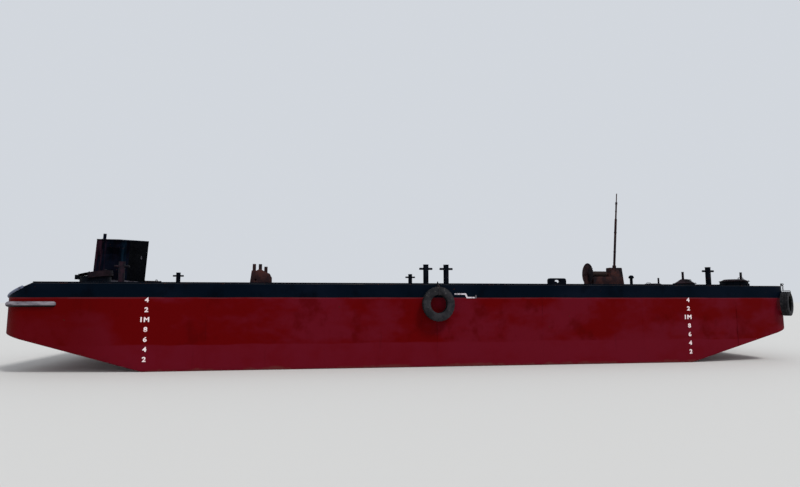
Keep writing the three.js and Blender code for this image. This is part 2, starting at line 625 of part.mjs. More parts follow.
// Engine house: a sheet steel box under a roof that falls outboard, with a door, an exhaust stub,
// and the engine inside
function buildHouse() {
  const place = new THREE.Group();
  place.position.set(HOUSE.x, -(HALF_BEAM - HOUSE.inset), DECK_TOP);
  barge.add(place);
  const half = HOUSE.width / 2;
  const lean = THREE.MathUtils.degToRad(HOUSE.lean);
  const rise = (x) => SKID.low + GAP + (half - x) * Math.tan(lean);

  for (const [name, x] of [['fore', -SKID.x], ['aft', SKID.x]]) {
    const x0 = x - SKID.width / 2;
    const x1 = x + SKID.width / 2;
    piece(`house_skid_${name}`, slabAcross(
      [[x0, GAP], [x1, GAP], [x1, rise(x1) - GAP], [x0, rise(x0) - GAP]],
      -20, HOUSE.depth + 20), rustySteel, place);
  }

  const tilted = new THREE.Group();
  tilted.position.set(half, 0, SKID.low + GAP);
  tilted.rotation.y = lean;
  place.add(tilted);
  const inner = new THREE.Group();
  inner.position.x = -HOUSE.width;
  tilted.add(inner);

  const w = HOUSE.wall;
  const doorway = box(DOOR.left + DOOR.lap, DOOR.right - DOOR.lap, -1, w + 1,
    DOOR.bottom + DOOR.lap, DOOR.top - DOOR.lap);
  const hingeX = DOOR.left - 4;
  const hingeY = -CLEAR - DOOR.thickness / 2;
  const hinges = DOOR_HINGE.heights.map((z) => join([
    upright(DOOR_HINGE.pin, z - DOOR_HINGE.length, z + DOOR_HINGE.length / 2, hingeX, hingeY, 12),
    box(hingeX - 12, hingeX + 12, hingeY - 8, 1, z - DOOR_HINGE.length, z - DOOR_HINGE.length / 2 - GAP),
  ]));
  const stubTop = HOUSE.height + EXHAUST.height;
  const stub = upright(EXHAUST.radius, HOUSE.height + 12, stubTop, EXHAUST.x, EXHAUST.y, 20)
    .subtract(upright(EXHAUST.radius - 5, HOUSE.height + 50, stubTop + 1, EXHAUST.x, EXHAUST.y, 20));
  const roof = (y) => HOUSE.height + HOUSE.roofRise * y / HOUSE.depth;
  const lengthwise = (points, x0, x1) => slabAcross(points, -x1, -x0).rotate([0, 0, 90]);
  const back = HOUSE.depth - w;
  const outside = [[0, 0], [HOUSE.depth, 0], [HOUSE.depth, roof(HOUSE.depth)], [0, roof(0)]];
  const inside = [[w, w], [back, w], [back, roof(back) - w], [w, roof(w) - w]];
  const shell = lengthwise(outside, 0, HOUSE.width)
    .subtract(lengthwise(inside, w, HOUSE.width - w))
    .subtract(doorway);
  piece('engine_house', join([shell, stub, ...hinges]), blackPaint, inner);

  const face = -CLEAR - DOOR.thickness;
  const panel = box(DOOR.left + 14, DOOR.right, face, -CLEAR, DOOR.bottom, DOOR.top);
  const barrels = DOOR_HINGE.heights.map((z) => {
    const low = z - DOOR_HINGE.length / 2;
    const high = z + DOOR_HINGE.length / 2;
    return join([
      upright(DOOR_HINGE.barrel, low, high, hingeX, hingeY, 16),
      box(hingeX, DOOR.left + 20, hingeY - 6, hingeY + 6, low, high),
    ]).subtract(upright(DOOR_HINGE.pin + 0.6, low - 1, high + 1, hingeX, hingeY, 12));
  });
  const handle = join([
    box(DOOR.right - 70, DOOR.right - 54, face - 40, face + 1, 520, 536),
    box(DOOR.right - 70, DOOR.right - 54, face - 40, face - 26, 440, 536),
  ]);
  piece('engine_house_door', join([panel, ...barrels, handle]), blackPaint, inner);

  piece('engine_block', box(
    half - ENGINE.width / 2, half + ENGINE.width / 2,
    HOUSE.depth / 2 - ENGINE.depth / 2 + 60, HOUSE.depth / 2 + ENGINE.depth / 2 + 60,
    w + GAP, w + ENGINE.height), rustySteel, inner);
}

buildHull();
buildDeck();
buildBowGuards();
buildFenders();
buildMooringGear();
buildHatches();
buildVents();
buildWinch();
buildHouse();

export default whole;
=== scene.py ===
import random
from math import asin, atan, atan2, copysign, cos, hypot, pi, radians, sin, tan, tau

import bmesh
import bpy
from mathutils import Matrix, Vector, noise


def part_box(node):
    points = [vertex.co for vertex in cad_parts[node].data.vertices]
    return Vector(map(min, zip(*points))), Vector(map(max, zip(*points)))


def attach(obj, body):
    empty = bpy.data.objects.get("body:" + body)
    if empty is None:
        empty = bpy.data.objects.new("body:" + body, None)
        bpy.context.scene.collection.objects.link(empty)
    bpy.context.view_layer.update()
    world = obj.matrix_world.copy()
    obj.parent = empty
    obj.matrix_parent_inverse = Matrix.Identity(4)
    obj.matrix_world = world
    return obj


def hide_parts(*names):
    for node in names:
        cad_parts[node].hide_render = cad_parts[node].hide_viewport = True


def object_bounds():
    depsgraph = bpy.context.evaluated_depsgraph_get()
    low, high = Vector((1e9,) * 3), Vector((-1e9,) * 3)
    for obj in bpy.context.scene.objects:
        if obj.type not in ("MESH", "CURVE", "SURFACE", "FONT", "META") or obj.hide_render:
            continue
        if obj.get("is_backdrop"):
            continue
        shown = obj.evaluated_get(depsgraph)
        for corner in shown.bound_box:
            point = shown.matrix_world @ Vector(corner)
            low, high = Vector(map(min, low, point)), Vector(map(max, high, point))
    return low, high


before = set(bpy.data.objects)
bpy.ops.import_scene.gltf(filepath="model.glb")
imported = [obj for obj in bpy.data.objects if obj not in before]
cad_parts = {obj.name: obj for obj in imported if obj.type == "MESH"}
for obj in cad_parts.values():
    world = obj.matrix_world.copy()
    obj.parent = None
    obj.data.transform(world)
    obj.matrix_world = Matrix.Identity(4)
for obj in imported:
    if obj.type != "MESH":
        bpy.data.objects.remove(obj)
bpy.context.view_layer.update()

# View: the camera stands 11.3 m off the port side, 1.44 m up, and looks a little aft and a little up.
# Its lens gives the photo's framing, with the bow at the left edge and the stern tyre at the right.
camera_data = bpy.data.cameras.new("camera")
camera_data.sensor_width = 36.0
camera_data.lens = 23.4
camera = bpy.data.objects.new("camera", camera_data)
camera.location = (-2.432, -13.837, 1.443)
camera.rotation_euler = (radians(96.22), 0.0, radians(-7.93))
bpy.context.scene.collection.objects.link(camera)
bpy.context.scene.camera = camera
bpy.context.scene.view_settings.view_transform = "Standard"


# Studio: a plain pale floor that runs to the horizon, an even pale surround,
# and one soft light from high on the stern's side, so that shadows fall towards the bow.
def shade(red, green, blue):
    """A paint colour, from the 0 to 255 numbers of a picture."""
    def linear(value):
        value /= 255.0
        return value / 12.92 if value <= 0.04045 else ((value + 0.055) / 1.055) ** 2.4
    return (linear(red), linear(green), linear(blue), 1.0)


surround = bpy.data.worlds.new("pale_surround")
surround.use_nodes = True
surround.node_tree.nodes["Background"].inputs["Color"].default_value = shade(226, 231, 238)
surround.node_tree.nodes["Background"].inputs["Strength"].default_value = 0.85
bpy.context.scene.world = surround

softbox_data = bpy.data.lights.new("softbox", "SUN")
softbox_data.energy = 1.7
softbox_data.angle = radians(14)
softbox = bpy.data.objects.new("softbox", softbox_data)
softbox.rotation_euler = Vector((-0.42, 0.55, -1.0)).to_track_quat("-Z", "Y").to_euler()
bpy.context.scene.collection.objects.link(softbox)

floor_mesh = bmesh.new()
bmesh.ops.create_grid(floor_mesh, x_segments=1, y_segments=1, size=300.0)
bmesh.ops.translate(floor_mesh, vec=(0, 0, -0.002), verts=floor_mesh.verts)
floor_data = bpy.data.meshes.new("studio_floor")
floor_mesh.to_mesh(floor_data)
floor_mesh.free()
floor_finish = bpy.data.materials.new("floor_finish")
floor_finish.use_nodes = True
floor_finish.node_tree.nodes["Principled BSDF"].inputs["Base Color"].default_value = shade(205, 203, 199)
floor_finish.node_tree.nodes["Principled BSDF"].inputs["Roughness"].default_value = 0.9
floor_data.materials.append(floor_finish)
studio_floor = bpy.data.objects.new("studio_floor", floor_data)
bpy.context.scene.collection.objects.link(studio_floor)
studio_floor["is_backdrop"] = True


# Hull: 8 mm steel plates welded on frames, painted dark red with a blue-black strake under the deck.
# The plates pull in a little between the frames, and a few knocks have dented them.
def moved(by):
    return Matrix.Translation(by)


def turned_by(angle, axis):
    return Matrix.Rotation(angle, 4, axis)


class Finish:
    """A paint or metal finish, put together node by node on the piece's own place."""

    def __init__(self, name, ground, roughness=0.6, metallic=0.0, gloss=0.2, slot=None):
        self.slot = slot or name
        self.material = bpy.data.materials.new(name)
        self.material.use_nodes = True
        self.nodes = self.material.node_tree.nodes
        self.links = self.material.node_tree.links
        self.shader = self.nodes["Principled BSDF"]
        self.shader.inputs["Roughness"].default_value = roughness
        self.shader.inputs["Metallic"].default_value = metallic
        self.shader.inputs["Specular IOR Level"].default_value = gloss
        self.place = self.nodes.new("ShaderNodeTexCoord").outputs["Object"]
        self.below = shade(*ground)

    def put(self, value, socket):
        if isinstance(value, bpy.types.NodeSocket):
            self.links.new(value, socket)
        else:
            socket.default_value = value

    def node(self, kind, result, inputs, **settings):
        """Adds a node, sets or links its inputs, and gives its result."""
        made = self.nodes.new("ShaderNode" + kind)
        for name, value in settings.items():
            setattr(made, name, value)
        for socket, value in inputs.items():
            self.put(value, made.inputs[socket])
        return made.outputs[result]

    def grain(self, scale, detail=5.0, stretch=(1.0, 1.0, 1.0), shift=(0.0, 0.0, 0.0), rough=0.6):
        """Uneven cloudy noise, from 0 to 1."""
        spot = self.node("Mapping", "Vector", {"Scale": stretch, "Location": shift, "Vector": self.place})
        return self.node("TexNoise", "Fac", {"Scale": scale, "Detail": detail, "Roughness": rough, "Vector": spot})

    def along(self, axis):
        return self.node("SeparateXYZ", axis, {"Vector": self.place})

    def span(self, value, low, high, out_low=0.0, out_high=1.0):
        """Runs smoothly from out_low to out_high as value goes from low to high."""
        return self.node("MapRange", "Result", {"From Min": low, "From Max": high, "To Min": out_low,
                                                "To Max": out_high, "Value": value}, interpolation_type="SMOOTHSTEP")

    def maths(self, kind, first, second=0.0):
        return self.node("Math", 0, {0: first, 1: second}, operation=kind)

    def coat(self, below, above, amount):
        return self.node("Mix", "Result", {"Factor": amount, "A": below, "B": above}, data_type="RGBA")

    def lay(self, colour, *amount):
        """Lays a colour over those before it, by a mask from 0 to 1 or by what span makes of a grain."""
        above = shade(*colour) if isinstance(colour, tuple) else colour
        self.below = self.coat(self.below, above, self.span(*amount) if len(amount) > 1 else amount[0])
        self.put(self.below, self.shader.inputs["Base Color"])

    def roughness(self, *amount):
        self.put(self.span(*amount), self.shader.inputs["Roughness"])

    def relief(self, height, depth):
        bump = self.node("Bump", "Normal", {"Distance": depth, "Strength": 1.0, "Height": height})
        self.links.new(bump, self.shader.inputs["Normal"])


def fit(mesh, name, finish, node=None, body="barge", place=None, sharp=32.0):
    """Makes a finished piece of a bmesh, in place, and sets it on its body."""
    if place:
        bmesh.ops.transform(mesh, matrix=place, verts=mesh.verts)
    bmesh.ops.remove_doubles(mesh, verts=mesh.verts, dist=1e-5)
    bmesh.ops.recalc_face_normals(mesh, faces=mesh.faces)
    data = bpy.data.meshes.new(name)
    mesh.to_mesh(data)
    mesh.free()
    data.shade_smooth()
    data.set_sharp_from_angle(angle=radians(sharp))
    data.materials.append(finish.material)
    piece = bpy.data.objects.new(name, data)
    bpy.context.scene.collection.objects.link(piece)
    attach(piece, body)
    if node:
        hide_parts(node)


def verts_in(geometry):
    return [g for g in geometry if isinstance(g, bmesh.types.BMVert)]


def edges_in(geometry):
    return [g for g in geometry if isinstance(g, bmesh.types.BMEdge)]


def edges_at(verts):
    return list({e for v in verts for e in v.link_edges})


def sliced(mesh, point, normal, clear=False):
    """Cuts a mesh by a plane, and clears away what is past it."""
    return bmesh.ops.bisect_plane(
        mesh, geom=mesh.verts[:] + mesh.edges[:] + mesh.faces[:], dist=1e-6,
        plane_co=point, plane_no=normal, clear_outer=clear)


def thickened(mesh, faces, by):
    """Draws flat faces out to a plate."""
    grown = bmesh.ops.extrude_face_region(mesh, geom=faces)
    bmesh.ops.translate(mesh, vec=by, verts=verts_in(grown["geom"]))


def rounded(mesh, edges, offset, segments):
    bmesh.ops.bevel(mesh, geom=edges, offset=offset, segments=segments, profile=0.5, affect="EDGES", material=-1)


def block(mesh, low, high, edge=0.0, segments=2, place=Matrix.Identity(4)):
    """A box between two corners, with its edges rounded."""
    size = Vector(high) - Vector(low)
    middle = (Vector(high) + Vector(low)) / 2
    made = bmesh.ops.create_cube(mesh, size=1.0, matrix=place @ moved(middle) @ Matrix.Diagonal((*size, 1.0)))
    if edge:
        rounded(mesh, edges_at(made["verts"]), edge, segments)


MIDSHIPS = -0.02731
HALF_LENGTH = 8.86
HALF_BEAM = 2.5
SHELL_TOP = 1.78
DECK = 1.79
KNUCKLE = 6.1
RAKE_TOP = 0.8
CORNER = 0.5
LIP_START = 8.26
LIP_DROP = 0.29
STRAKE = 1.5
FRAME_SPACING = 0.61
PLATE_SINK = 0.0028
KNOCKS = 34
random.seed(4)
knocks = [(random.uniform(-8.0, 8.0), random.uniform(0.35, 1.6), random.uniform(0.18, 0.5),
    random.uniform(0.003, 0.01)) for _ in range(KNOCKS)]

shell = bmesh.new()
block(shell, (MIDSHIPS - HALF_LENGTH, -HALF_BEAM, 0), (MIDSHIPS + HALF_LENGTH, HALF_BEAM, SHELL_TOP))
upright_edges = [e for e in shell.edges if abs(e.verts[0].co.z - e.verts[1].co.z) > 1]
rounded(shell, upright_edges, CORNER, 14)
cuts = [
    # point in x and z, normal of the side that is cut away
    ((KNUCKLE, 0.0), (RAKE_TOP, KNUCKLE - HALF_LENGTH)),
    ((-KNUCKLE, 0.0), (-RAKE_TOP, KNUCKLE - HALF_LENGTH)),
    ((-LIP_START, SHELL_TOP), (-LIP_DROP, HALF_LENGTH - LIP_START)),
]
for (x, z), (away_x, away_z) in cuts:
    cut = sliced(shell, (MIDSHIPS + x, 0, z), (away_x, 0, away_z), clear=True)
    bmesh.ops.contextual_create(shell, geom=edges_in(cut["geom_cut"]))
chine = [e for e in shell.edges if len(e.link_faces) == 2 and e.calc_face_angle() > radians(50)]
chine = [e for e in chine if min(f.normal.z for f in e.link_faces) < -0.5]
rounded(shell, chine, 0.014, 2)
stations = [MIDSHIPS + i * FRAME_SPACING / 4 for i in range(-54, 55)]
levels = [0.08 + i * 0.13 for i in range(13)]
for x in stations:
    sliced(shell, (x, 0, 0), (1, 0, 0))
for z in levels:
    sliced(shell, (0, 0, z), (0, 0, 1))
for v in shell.verts:
    along = v.co.x - MIDSHIPS
    if abs(v.co.y) < HALF_BEAM - 1e-4 or abs(along) > HALF_LENGTH - CORNER - 0.02:
        continue
    if v.co.z < 0.05 or v.co.z > 1.7:
        continue
    side = copysign(1.0, v.co.y)
    between = sin(pi * along / FRAME_SPACING) ** 2
    height = sin(pi * min(1.0, max(0.0, v.co.z / 1.75))) ** 0.5
    sink = PLATE_SINK * between * height * (1.0 + 0.8 * noise.noise((along * 0.7, side * 9, v.co.z)))
    for knock_x, knock_z, reach, depth in knocks:
        distance = hypot(along - side * knock_x, v.co.z - knock_z)
        if distance < reach:
            sink += depth * (1 - (distance / reach) ** 2) ** 2
    v.co.y -= side * sink

hull_paint = Finish("hull_paint", (92, 0, 2), roughness=0.55, gloss=0.03)
height_up = hull_paint.along("Z")
fade = hull_paint.grain(0.55, 4, (1, 1, 1.8))
cloud = hull_paint.grain(2.3, 6, (1, 1, 0.8), (3, 1, 5))
run_marks = hull_paint.grain(3.4, 5, (2.6, 2.6, 0.22), (7, 2, 1))
speckle = hull_paint.grain(46, 3)
hull_paint.lay((96, 12, 26), fade, 0.44, 0.62)
hull_paint.lay((80, 0, 1), cloud, 0.52, 0.7, 0, 0.7)
edge_wave = hull_paint.grain(0.9, 3, (1, 1, 0.1), (11, 0, 0))
low_line = hull_paint.maths("ADD", height_up, hull_paint.span(edge_wave, 0.3, 0.7, -0.015, 0.015))
low_band = hull_paint.span(low_line, 0.515, 0.545, 1, 0)
hull_paint.lay((98, 14, 29), hull_paint.maths("MULTIPLY", low_band, hull_paint.span(cloud, 0.3, 0.7, 0.55, 0.95)))
hull_paint.lay((64, 2, 5), run_marks, 0.62, 0.78, 0, 0.35)
# Painted shade: the red is darkened towards the bow.
hull_paint.lay((82, 0, 0), hull_paint.along("X"), -7.6, -6.2, 0.6, 0)
hull_paint.lay((96, 42, 48), hull_paint.maths("MULTIPLY", hull_paint.span(height_up, 1.465, 1.485, 0, 0.55),
    hull_paint.span(cloud, 0.35, 0.6, 0.3, 1.0)))
scrapes = hull_paint.grain(1.9, 7, (0.35, 1, 3.2), (2, 0, 9), 0.7)
hull_paint.lay((116, 36, 44), scrapes, 0.68, 0.72, 0, 0.4)
silt_line = hull_paint.maths("ADD", height_up, hull_paint.span(cloud, 0.3, 0.7, -0.04, 0.04))
hull_paint.lay((96, 62, 56), silt_line, 0.0, 0.06, 0.4, 0)
navy = hull_paint.coat(shade(0, 9, 21), shade(6, 15, 28), hull_paint.span(fade, 0.4, 0.7))
navy = hull_paint.coat(navy, shade(0, 3, 10), hull_paint.span(cloud, 0.5, 0.7, 0, 0.7))
navy = hull_paint.coat(navy, shade(40, 42, 50), hull_paint.span(scrapes, 0.67, 0.73, 0, 0.45))
strake_line = hull_paint.maths("ADD", height_up, hull_paint.span(edge_wave, 0.3, 0.7, -0.004, 0.004))
strake = hull_paint.span(strake_line, STRAKE - 0.003, STRAKE + 0.003)
hull_paint.lay(navy, strake)
rust_spots = hull_paint.span(hull_paint.maths("MULTIPLY", hull_paint.grain(6.5, 8, (1, 1, 1), (5, 5, 5), 0.72),
    hull_paint.span(fade, 0.35, 0.6, 0.92, 1.04)), 0.68, 0.71)
hull_paint.lay((66, 30, 20), rust_spots)
hull_paint.lay((96, 60, 62), speckle, 0.73, 0.8, 0, 0.25)
hull_paint.roughness(cloud, 0.3, 0.75, 0.45, 0.7)
hull_paint.relief(hull_paint.maths("SUBTRACT", hull_paint.grain(5.5, 6), rust_spots), 0.0012)
fit(shell, "hull_shell", hull_paint, "hull", sharp=24.0)


# Weld seams: the butts between the plates are hand-welded beads, ground down and painted over.
# They stand 1.5 mm proud of the shell on both sides and round the ends, and across the bottom.
def bead(mesh, start, end, radius=0.0035, sides=6):
    start = Vector(start)
    run = Vector(end) - start
    turn = run.to_track_quat("Z", "Y").to_matrix().to_4x4()
    bmesh.ops.create_cone(mesh, cap_ends=True, segments=sides, radius1=radius, radius2=radius, depth=run.length,
        matrix=moved(start + run / 2) @ turn)


BUTTS = [-7.32, -4.88, -2.44, 0.0, 2.44, 4.88, 7.32]
shell_seams = bmesh.new()
for side in (-1, 1):
    y = side * (HALF_BEAM - 0.002)
    half_seam = HALF_LENGTH - CORNER
    for x in BUTTS:
        foot = 0.01 + max(0.0, abs(x) - KNUCKLE) * RAKE_TOP / (HALF_LENGTH - KNUCKLE)
        bead(shell_seams, (MIDSHIPS + x, y, foot), (MIDSHIPS + x, y, 1.77))
    for end in (-1, 1):
        bead(shell_seams, (MIDSHIPS + end * half_seam, y, 0.68), (MIDSHIPS + end * half_seam, y, 1.73))
        bead(shell_seams, (MIDSHIPS + end * (HALF_LENGTH - 0.002), side * (HALF_BEAM - CORNER), RAKE_TOP + 0.01),
            (MIDSHIPS + end * (HALF_LENGTH - 0.002), side * (HALF_BEAM - CORNER), 1.46))
fit(shell_seams, "shell_weld_seams", hull_paint)


# Bottom seams: the butt welds of the flat bottom, in the same red paint, which has scaled off more here because the
# bottom is always wet and now and then lies on the river bed.
bottom_paint = Finish("bottom_paint", (86, 10, 14), roughness=0.75, gloss=0.04, slot="hull_paint")
scale_cloud = bottom_paint.grain(1.6, 7)
bottom_paint.lay((112, 40, 40), scale_cloud, 0.4, 0.65)
bottom_paint.lay((74, 52, 40), bottom_paint.grain(7, 6, (1, 1, 1), (3, 8, 1)), 0.6, 0.7)
bottom_paint.relief(scale_cloud, 0.003)
bottom_seams = bmesh.new()
for x in (-4.88, -2.44, 0.0, 2.44, 4.88):
    bead(bottom_seams, (MIDSHIPS + x, -2.47, 0.0035), (MIDSHIPS + x, 2.47, 0.0035), radius=0.0035)
fit(bottom_seams, "bottom_weld_seams", bottom_paint)


# Draft figures: white block figures every 0.2 m on both sides at both ends, 0.1 m tall, brushed on by stencil.
# They show how deep the hull lies in the water.
DRAFT_FIGURES = [
    # figure, height of its lower edge over the bottom
    ("2", 0.2),
    ("4", 0.4),
    ("6", 0.6),
    ("8", 0.8),
    ("M", 1.0),
    ("2", 1.2),
    ("4", 1.4),
]
FIGURE_HEIGHT = 0.1
FIGURE_WIDENING = 1.12
FIGURE_X = 6.065
mark_paint = Finish("mark_paint", (250, 232, 232), roughness=0.6, gloss=0.3, slot="black_paint")
mark_wear = mark_paint.grain(17, 6)
mark_paint.lay((222, 184, 184), mark_wear, 0.48, 0.66)
mark_paint.lay((120, 40, 46), mark_paint.grain(60, 5), 0.68, 0.76, 0, 0.7)
mark_paint.relief(mark_wear, 0.0004)


def figure_shape(text):
    """A figure as a mesh, standing in X and Z on its lower edge, 0.1 m tall and centred."""
    curve = bpy.data.curves.new("figure", "FONT")
    curve.body = text
    curve.size = 0.14
    curve.offset = 0.0052
    curve.extrude = 0.004
    letter = bpy.data.objects.new("figure", curve)
    bpy.context.scene.collection.objects.link(letter)
    bpy.context.view_layer.update()
    shape = bpy.data.meshes.new_from_object(letter.evaluated_get(bpy.context.evaluated_depsgraph_get()))
    bpy.data.objects.remove(letter)
    xs = [v.co.x for v in shape.vertices]
    ys = [v.co.y for v in shape.vertices]
    tall = FIGURE_HEIGHT / (max(ys) - min(ys))
    middle = (max(xs) + min(xs)) / 2
    scaled = Matrix.Diagonal((tall * FIGURE_WIDENING, tall, 1.0, 1.0))
    shape.transform(turned_by(pi / 2, "X") @ scaled @ moved((-middle, -min(ys), 0)))
    return shape


shapes = {text: figure_shape(text) for text in ("1", "2", "4", "6", "8", "M")}
for end_name, end in (("bow", -1), ("stern", 1)):
    for side_name, side in (("port", -1), ("starboard", 1)):
        column = bmesh.new()
        facing = turned_by(0.0 if side < 0 else pi, "Z")
        for text, height in DRAFT_FIGURES:
            spots = [(text, 0.0)] if text != "M" else [("M", 0.012), ("1", -0.092)]
            for figure, shift in spots:
                part = shapes[figure].copy()
                spot = (MIDSHIPS + end * FIGURE_X, side * (HALF_BEAM - 0.0028), height)
                part.transform(moved(spot) @ facing @ moved((shift, 0, 0)))
                column.from_mesh(part)
                bpy.data.meshes.remove(part)
        fit(column, f"draft_figures_{end_name}_{side_name}", mark_paint)
for shape in shapes.values():
    bpy.data.meshes.remove(shape)


# Step line: a white line with one step, painted on the port side by the midship tyre. It is drawn as a plate that
# stands just off the plating, and its after end is black with dirt.
def plate(mesh, outline, by):
    """A flat plate cut to an outline."""
    thickened(mesh, [mesh.faces.new([mesh.verts.new(point) for point in outline])], by)


STEP_LINE = [(0.4, 1.594), (0.662, 1.594), (0.7, 1.516), (0.872, 1.516), (0.872, 1.556), (0.902, 1.556),
    (0.902, 1.486), (0.674, 1.486), (0.636, 1.564), (0.4, 1.564)]
step_line = bmesh.new()
plate(step_line, [(MIDSHIPS + x, -HALF_BEAM - 0.0012, z) for x, z in STEP_LINE], (0, 0.008, 0))
line_paint = Finish("line_paint", (214, 206, 210), roughness=0.6, gloss=0.2, slot="black_paint")
line_wear = line_paint.grain(17, 6)
line_paint.lay((150, 140, 146), line_wear, 0.46, 0.62)
line_paint.lay((26, 26, 36), line_paint.along("X"), 0.822, 0.842, 0, 0.82)
line_paint.relief(line_wear, 0.0004)
fit(step_line, "step_line", line_paint)


# Deck: flat steel plates, painted blue-black long ago, walked and rained on, with rust coming through.
# The bow lip slopes down to the end, and the plates are joined by welded seams.
deck_paint = Finish("deck_paint", (26, 30, 38), roughness=0.7, gloss=0.1, slot="black_paint")
deck_cloud = deck_paint.grain(0.8, 6)
deck_patch = deck_paint.grain(2.6, 8, (1, 1, 1), (4, 4, 4), 0.7)
deck_paint.lay((52, 54, 58), deck_cloud, 0.38, 0.66)
deck_paint.lay((78, 50, 38), deck_patch, 0.54, 0.64, 0, 0.85)
deck_paint.lay((104, 62, 40), deck_paint.grain(14, 8, (1, 1, 1), (1, 6, 2)), 0.6, 0.7)
deck_paint.lay((118, 112, 104), deck_cloud, 0.6, 0.74, 0, 0.5)
deck_paint.roughness(deck_patch, 0.4, 0.7, 0.55, 0.9)
deck_paint.relief(deck_patch, 0.0025)
for name in ("deck_plate", "bow_lip_plate"):
    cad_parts[name].data.materials.clear()
    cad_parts[name].data.materials.append(deck_paint.material)

deck_seams = bmesh.new()
for x in (-6.1, -3.66, -1.22, 1.22, 3.66, 6.1):
    bead(deck_seams, (MIDSHIPS + x, -2.45, DECK), (MIDSHIPS + x, 2.45, DECK), radius=0.0035)
for y in (-0.9, 0.9):
    bead(deck_seams, (MIDSHIPS - LIP_START + 0.02, y, DECK), (MIDSHIPS + HALF_LENGTH - 0.03, y, DECK), radius=0.0035)
bead(deck_seams, (MIDSHIPS - LIP_START, -2.46, DECK - 0.001), (MIDSHIPS - LIP_START, 2.46, DECK - 0.001),
    radius=0.005)
fit(deck_seams, "deck_weld_seams", deck_paint)


# Gunwale bars: flat bars welded on edge along both sides of the deck, with short runs of weld along their foot.
# Their black paint is chipped.
black_paint = Finish("black_paint", (3, 7, 15), roughness=0.55, gloss=0.03)
black_cloud = black_paint.grain(5, 6)
black_chips = black_paint.grain(22, 8, (1, 1, 1), (2, 2, 7), 0.7)
black_paint.lay((12, 16, 24), black_cloud, 0.4, 0.66)
black_paint.lay((60, 34, 28), black_chips, 0.6, 0.68, 0, 0.85)
black_paint.lay((84, 78, 78), black_paint.grain(90, 4), 0.68, 0.78, 0, 0.4)
black_paint.roughness(black_chips, 0.4, 0.7, 0.42, 0.85)
black_paint.relief(black_chips, 0.0012)
for side_name in ("port", "starboard"):
    low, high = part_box(f"gunwale_bar_{side_name}")
    bar = bmesh.new()
    block(bar, low, high, edge=0.004)
    for x in stations[::4]:
        if low.x < x < high.x:
            y = low.y if low.y > 0 else high.y
            bead(bar, (x - 0.04, y, low.z + 0.001), (x + 0.04, y, low.z + 0.001), radius=0.005)
    fit(bar, f"gunwale_flat_bar_{side_name}", black_paint, f"gunwale_bar_{side_name}")


# Bow guards: thick-walled half pipe welded round the bow below the strake, and a thin half-round bar on the
# edge of the sloping lip. Both are painted black. Their grey is painted sky reflection on that black paint, with
# scuffs worn through it, and the underside of the guard pipe is painted shade.
def drawn_bar(mesh, radius, path, sides=12, closed=False, lobes=0, twist=0.0):
    """A bar drawn through the points of path. With lobes it is a laid rope, turned by twist at each point."""
    points = [Vector(p) for p in path]
    if closed:
        points = points + [points[0]]
    count = len(points)
    tangents = []
    for i in range(count):
        if closed:
            before, after = points[(i - 1) % (count - 1)], points[(i + 1) % (count - 1)]
        else:
            before, after = points[max(0, i - 1)], points[min(count - 1, i + 1)]
        tangents.append((after - before).normalized())
    turn = tangents[0].to_track_quat("Z", "Y")
    made = bmesh.ops.create_circle(mesh, cap_ends=False, segments=sides, radius=radius,
        matrix=moved(points[0]) @ turn.to_matrix().to_4x4())
    ring = made["verts"]
    if lobes:
        step = sides // lobes
        for k, v in enumerate(ring):
            if k % step == 0:
                v.co = points[0] + (v.co - points[0]) * 0.8
    first = list(ring)
    edges = edges_at(ring)
    if not closed:
        bmesh.ops.contextual_create(mesh, geom=edges)
    for i in range(1, count):
        grown_ring = bmesh.ops.extrude_edge_only(mesh, edges=edges)
        ring = verts_in(grown_ring["geom"])
        edges = [e for e in edges_in(grown_ring["geom"]) if all(v in ring for v in e.verts)]
        bend = tangents[i - 1].rotation_difference(tangents[i]).to_matrix()
        spin = Matrix.Rotation(twist, 3, tangents[i]) if twist else Matrix.Identity(3)
        for v in ring:
            v.co = points[i] + spin @ bend @ (v.co - points[i - 1])
    if closed:
        bmesh.ops.remove_doubles(mesh, verts=first + ring, dist=radius * 0.08)
    else:
        bmesh.ops.contextual_create(mesh, geom=edges)


def round_bow(start, height_at, steps=14):
    """Points round the bow on the shell, from port to starboard."""
    centre_x = -(HALF_LENGTH - CORNER)
    reach = max(0.0, start - (HALF_LENGTH - CORNER))
    into = asin(min(1.0, reach / CORNER))
    points = []
    if start < HALF_LENGTH - CORNER:
        points.append((-start, -HALF_BEAM))
    for i in range(steps + 1):
        angle = into + (pi / 2 - into) * i / steps
        points.append((centre_x - CORNER * sin(angle), -HALF_BEAM + CORNER - CORNER * cos(angle)))
    points += [(x, -y) for x, y in reversed(points)]
    return [(MIDSHIPS + x, y, height_at(-x)) for x, y in points]


# Painted reflection: the grey ground and its paler clouds stand for sky reflected in the pipe's black paint. The dark
# scuffs are wear.
guard_sheen_paint = Finish("guard_sheen_paint", (104, 98, 106), roughness=0.65, gloss=0.15, slot="grey_paint")
guard_cloud = guard_sheen_paint.grain(3.5, 6, (1, 1, 3))
guard_scuffs = guard_sheen_paint.grain(9, 8, (0.5, 0.5, 2), (3, 3, 3), 0.7)
guard_sheen_paint.lay((134, 128, 134), guard_cloud, 0.4, 0.62)
guard_sheen_paint.lay((66, 48, 52), guard_scuffs, 0.56, 0.66, 0, 0.8)
# Painted shade: below its middle the pipe is painted near black.
guard_sheen_paint.lay((14, 6, 10), guard_sheen_paint.along("Z"), 1.335, 1.352, 1, 0)
guard_sheen_paint.relief(guard_scuffs, 0.002)
# Painted reflection: the bar's blue-grey stands for sky reflected in its black paint. The dark scuffs are wear.
lip_bar_sheen_paint = Finish("lip_bar_sheen_paint", (104, 110, 130), roughness=0.6, gloss=0.2, slot="grey_paint")
lip_bar_scuffs = lip_bar_sheen_paint.grain(12, 8, (0.6, 0.6, 1.5))
lip_bar_sheen_paint.lay((60, 52, 60), lip_bar_scuffs, 0.52, 0.66)
lip_bar_sheen_paint.relief(lip_bar_scuffs, 0.002)

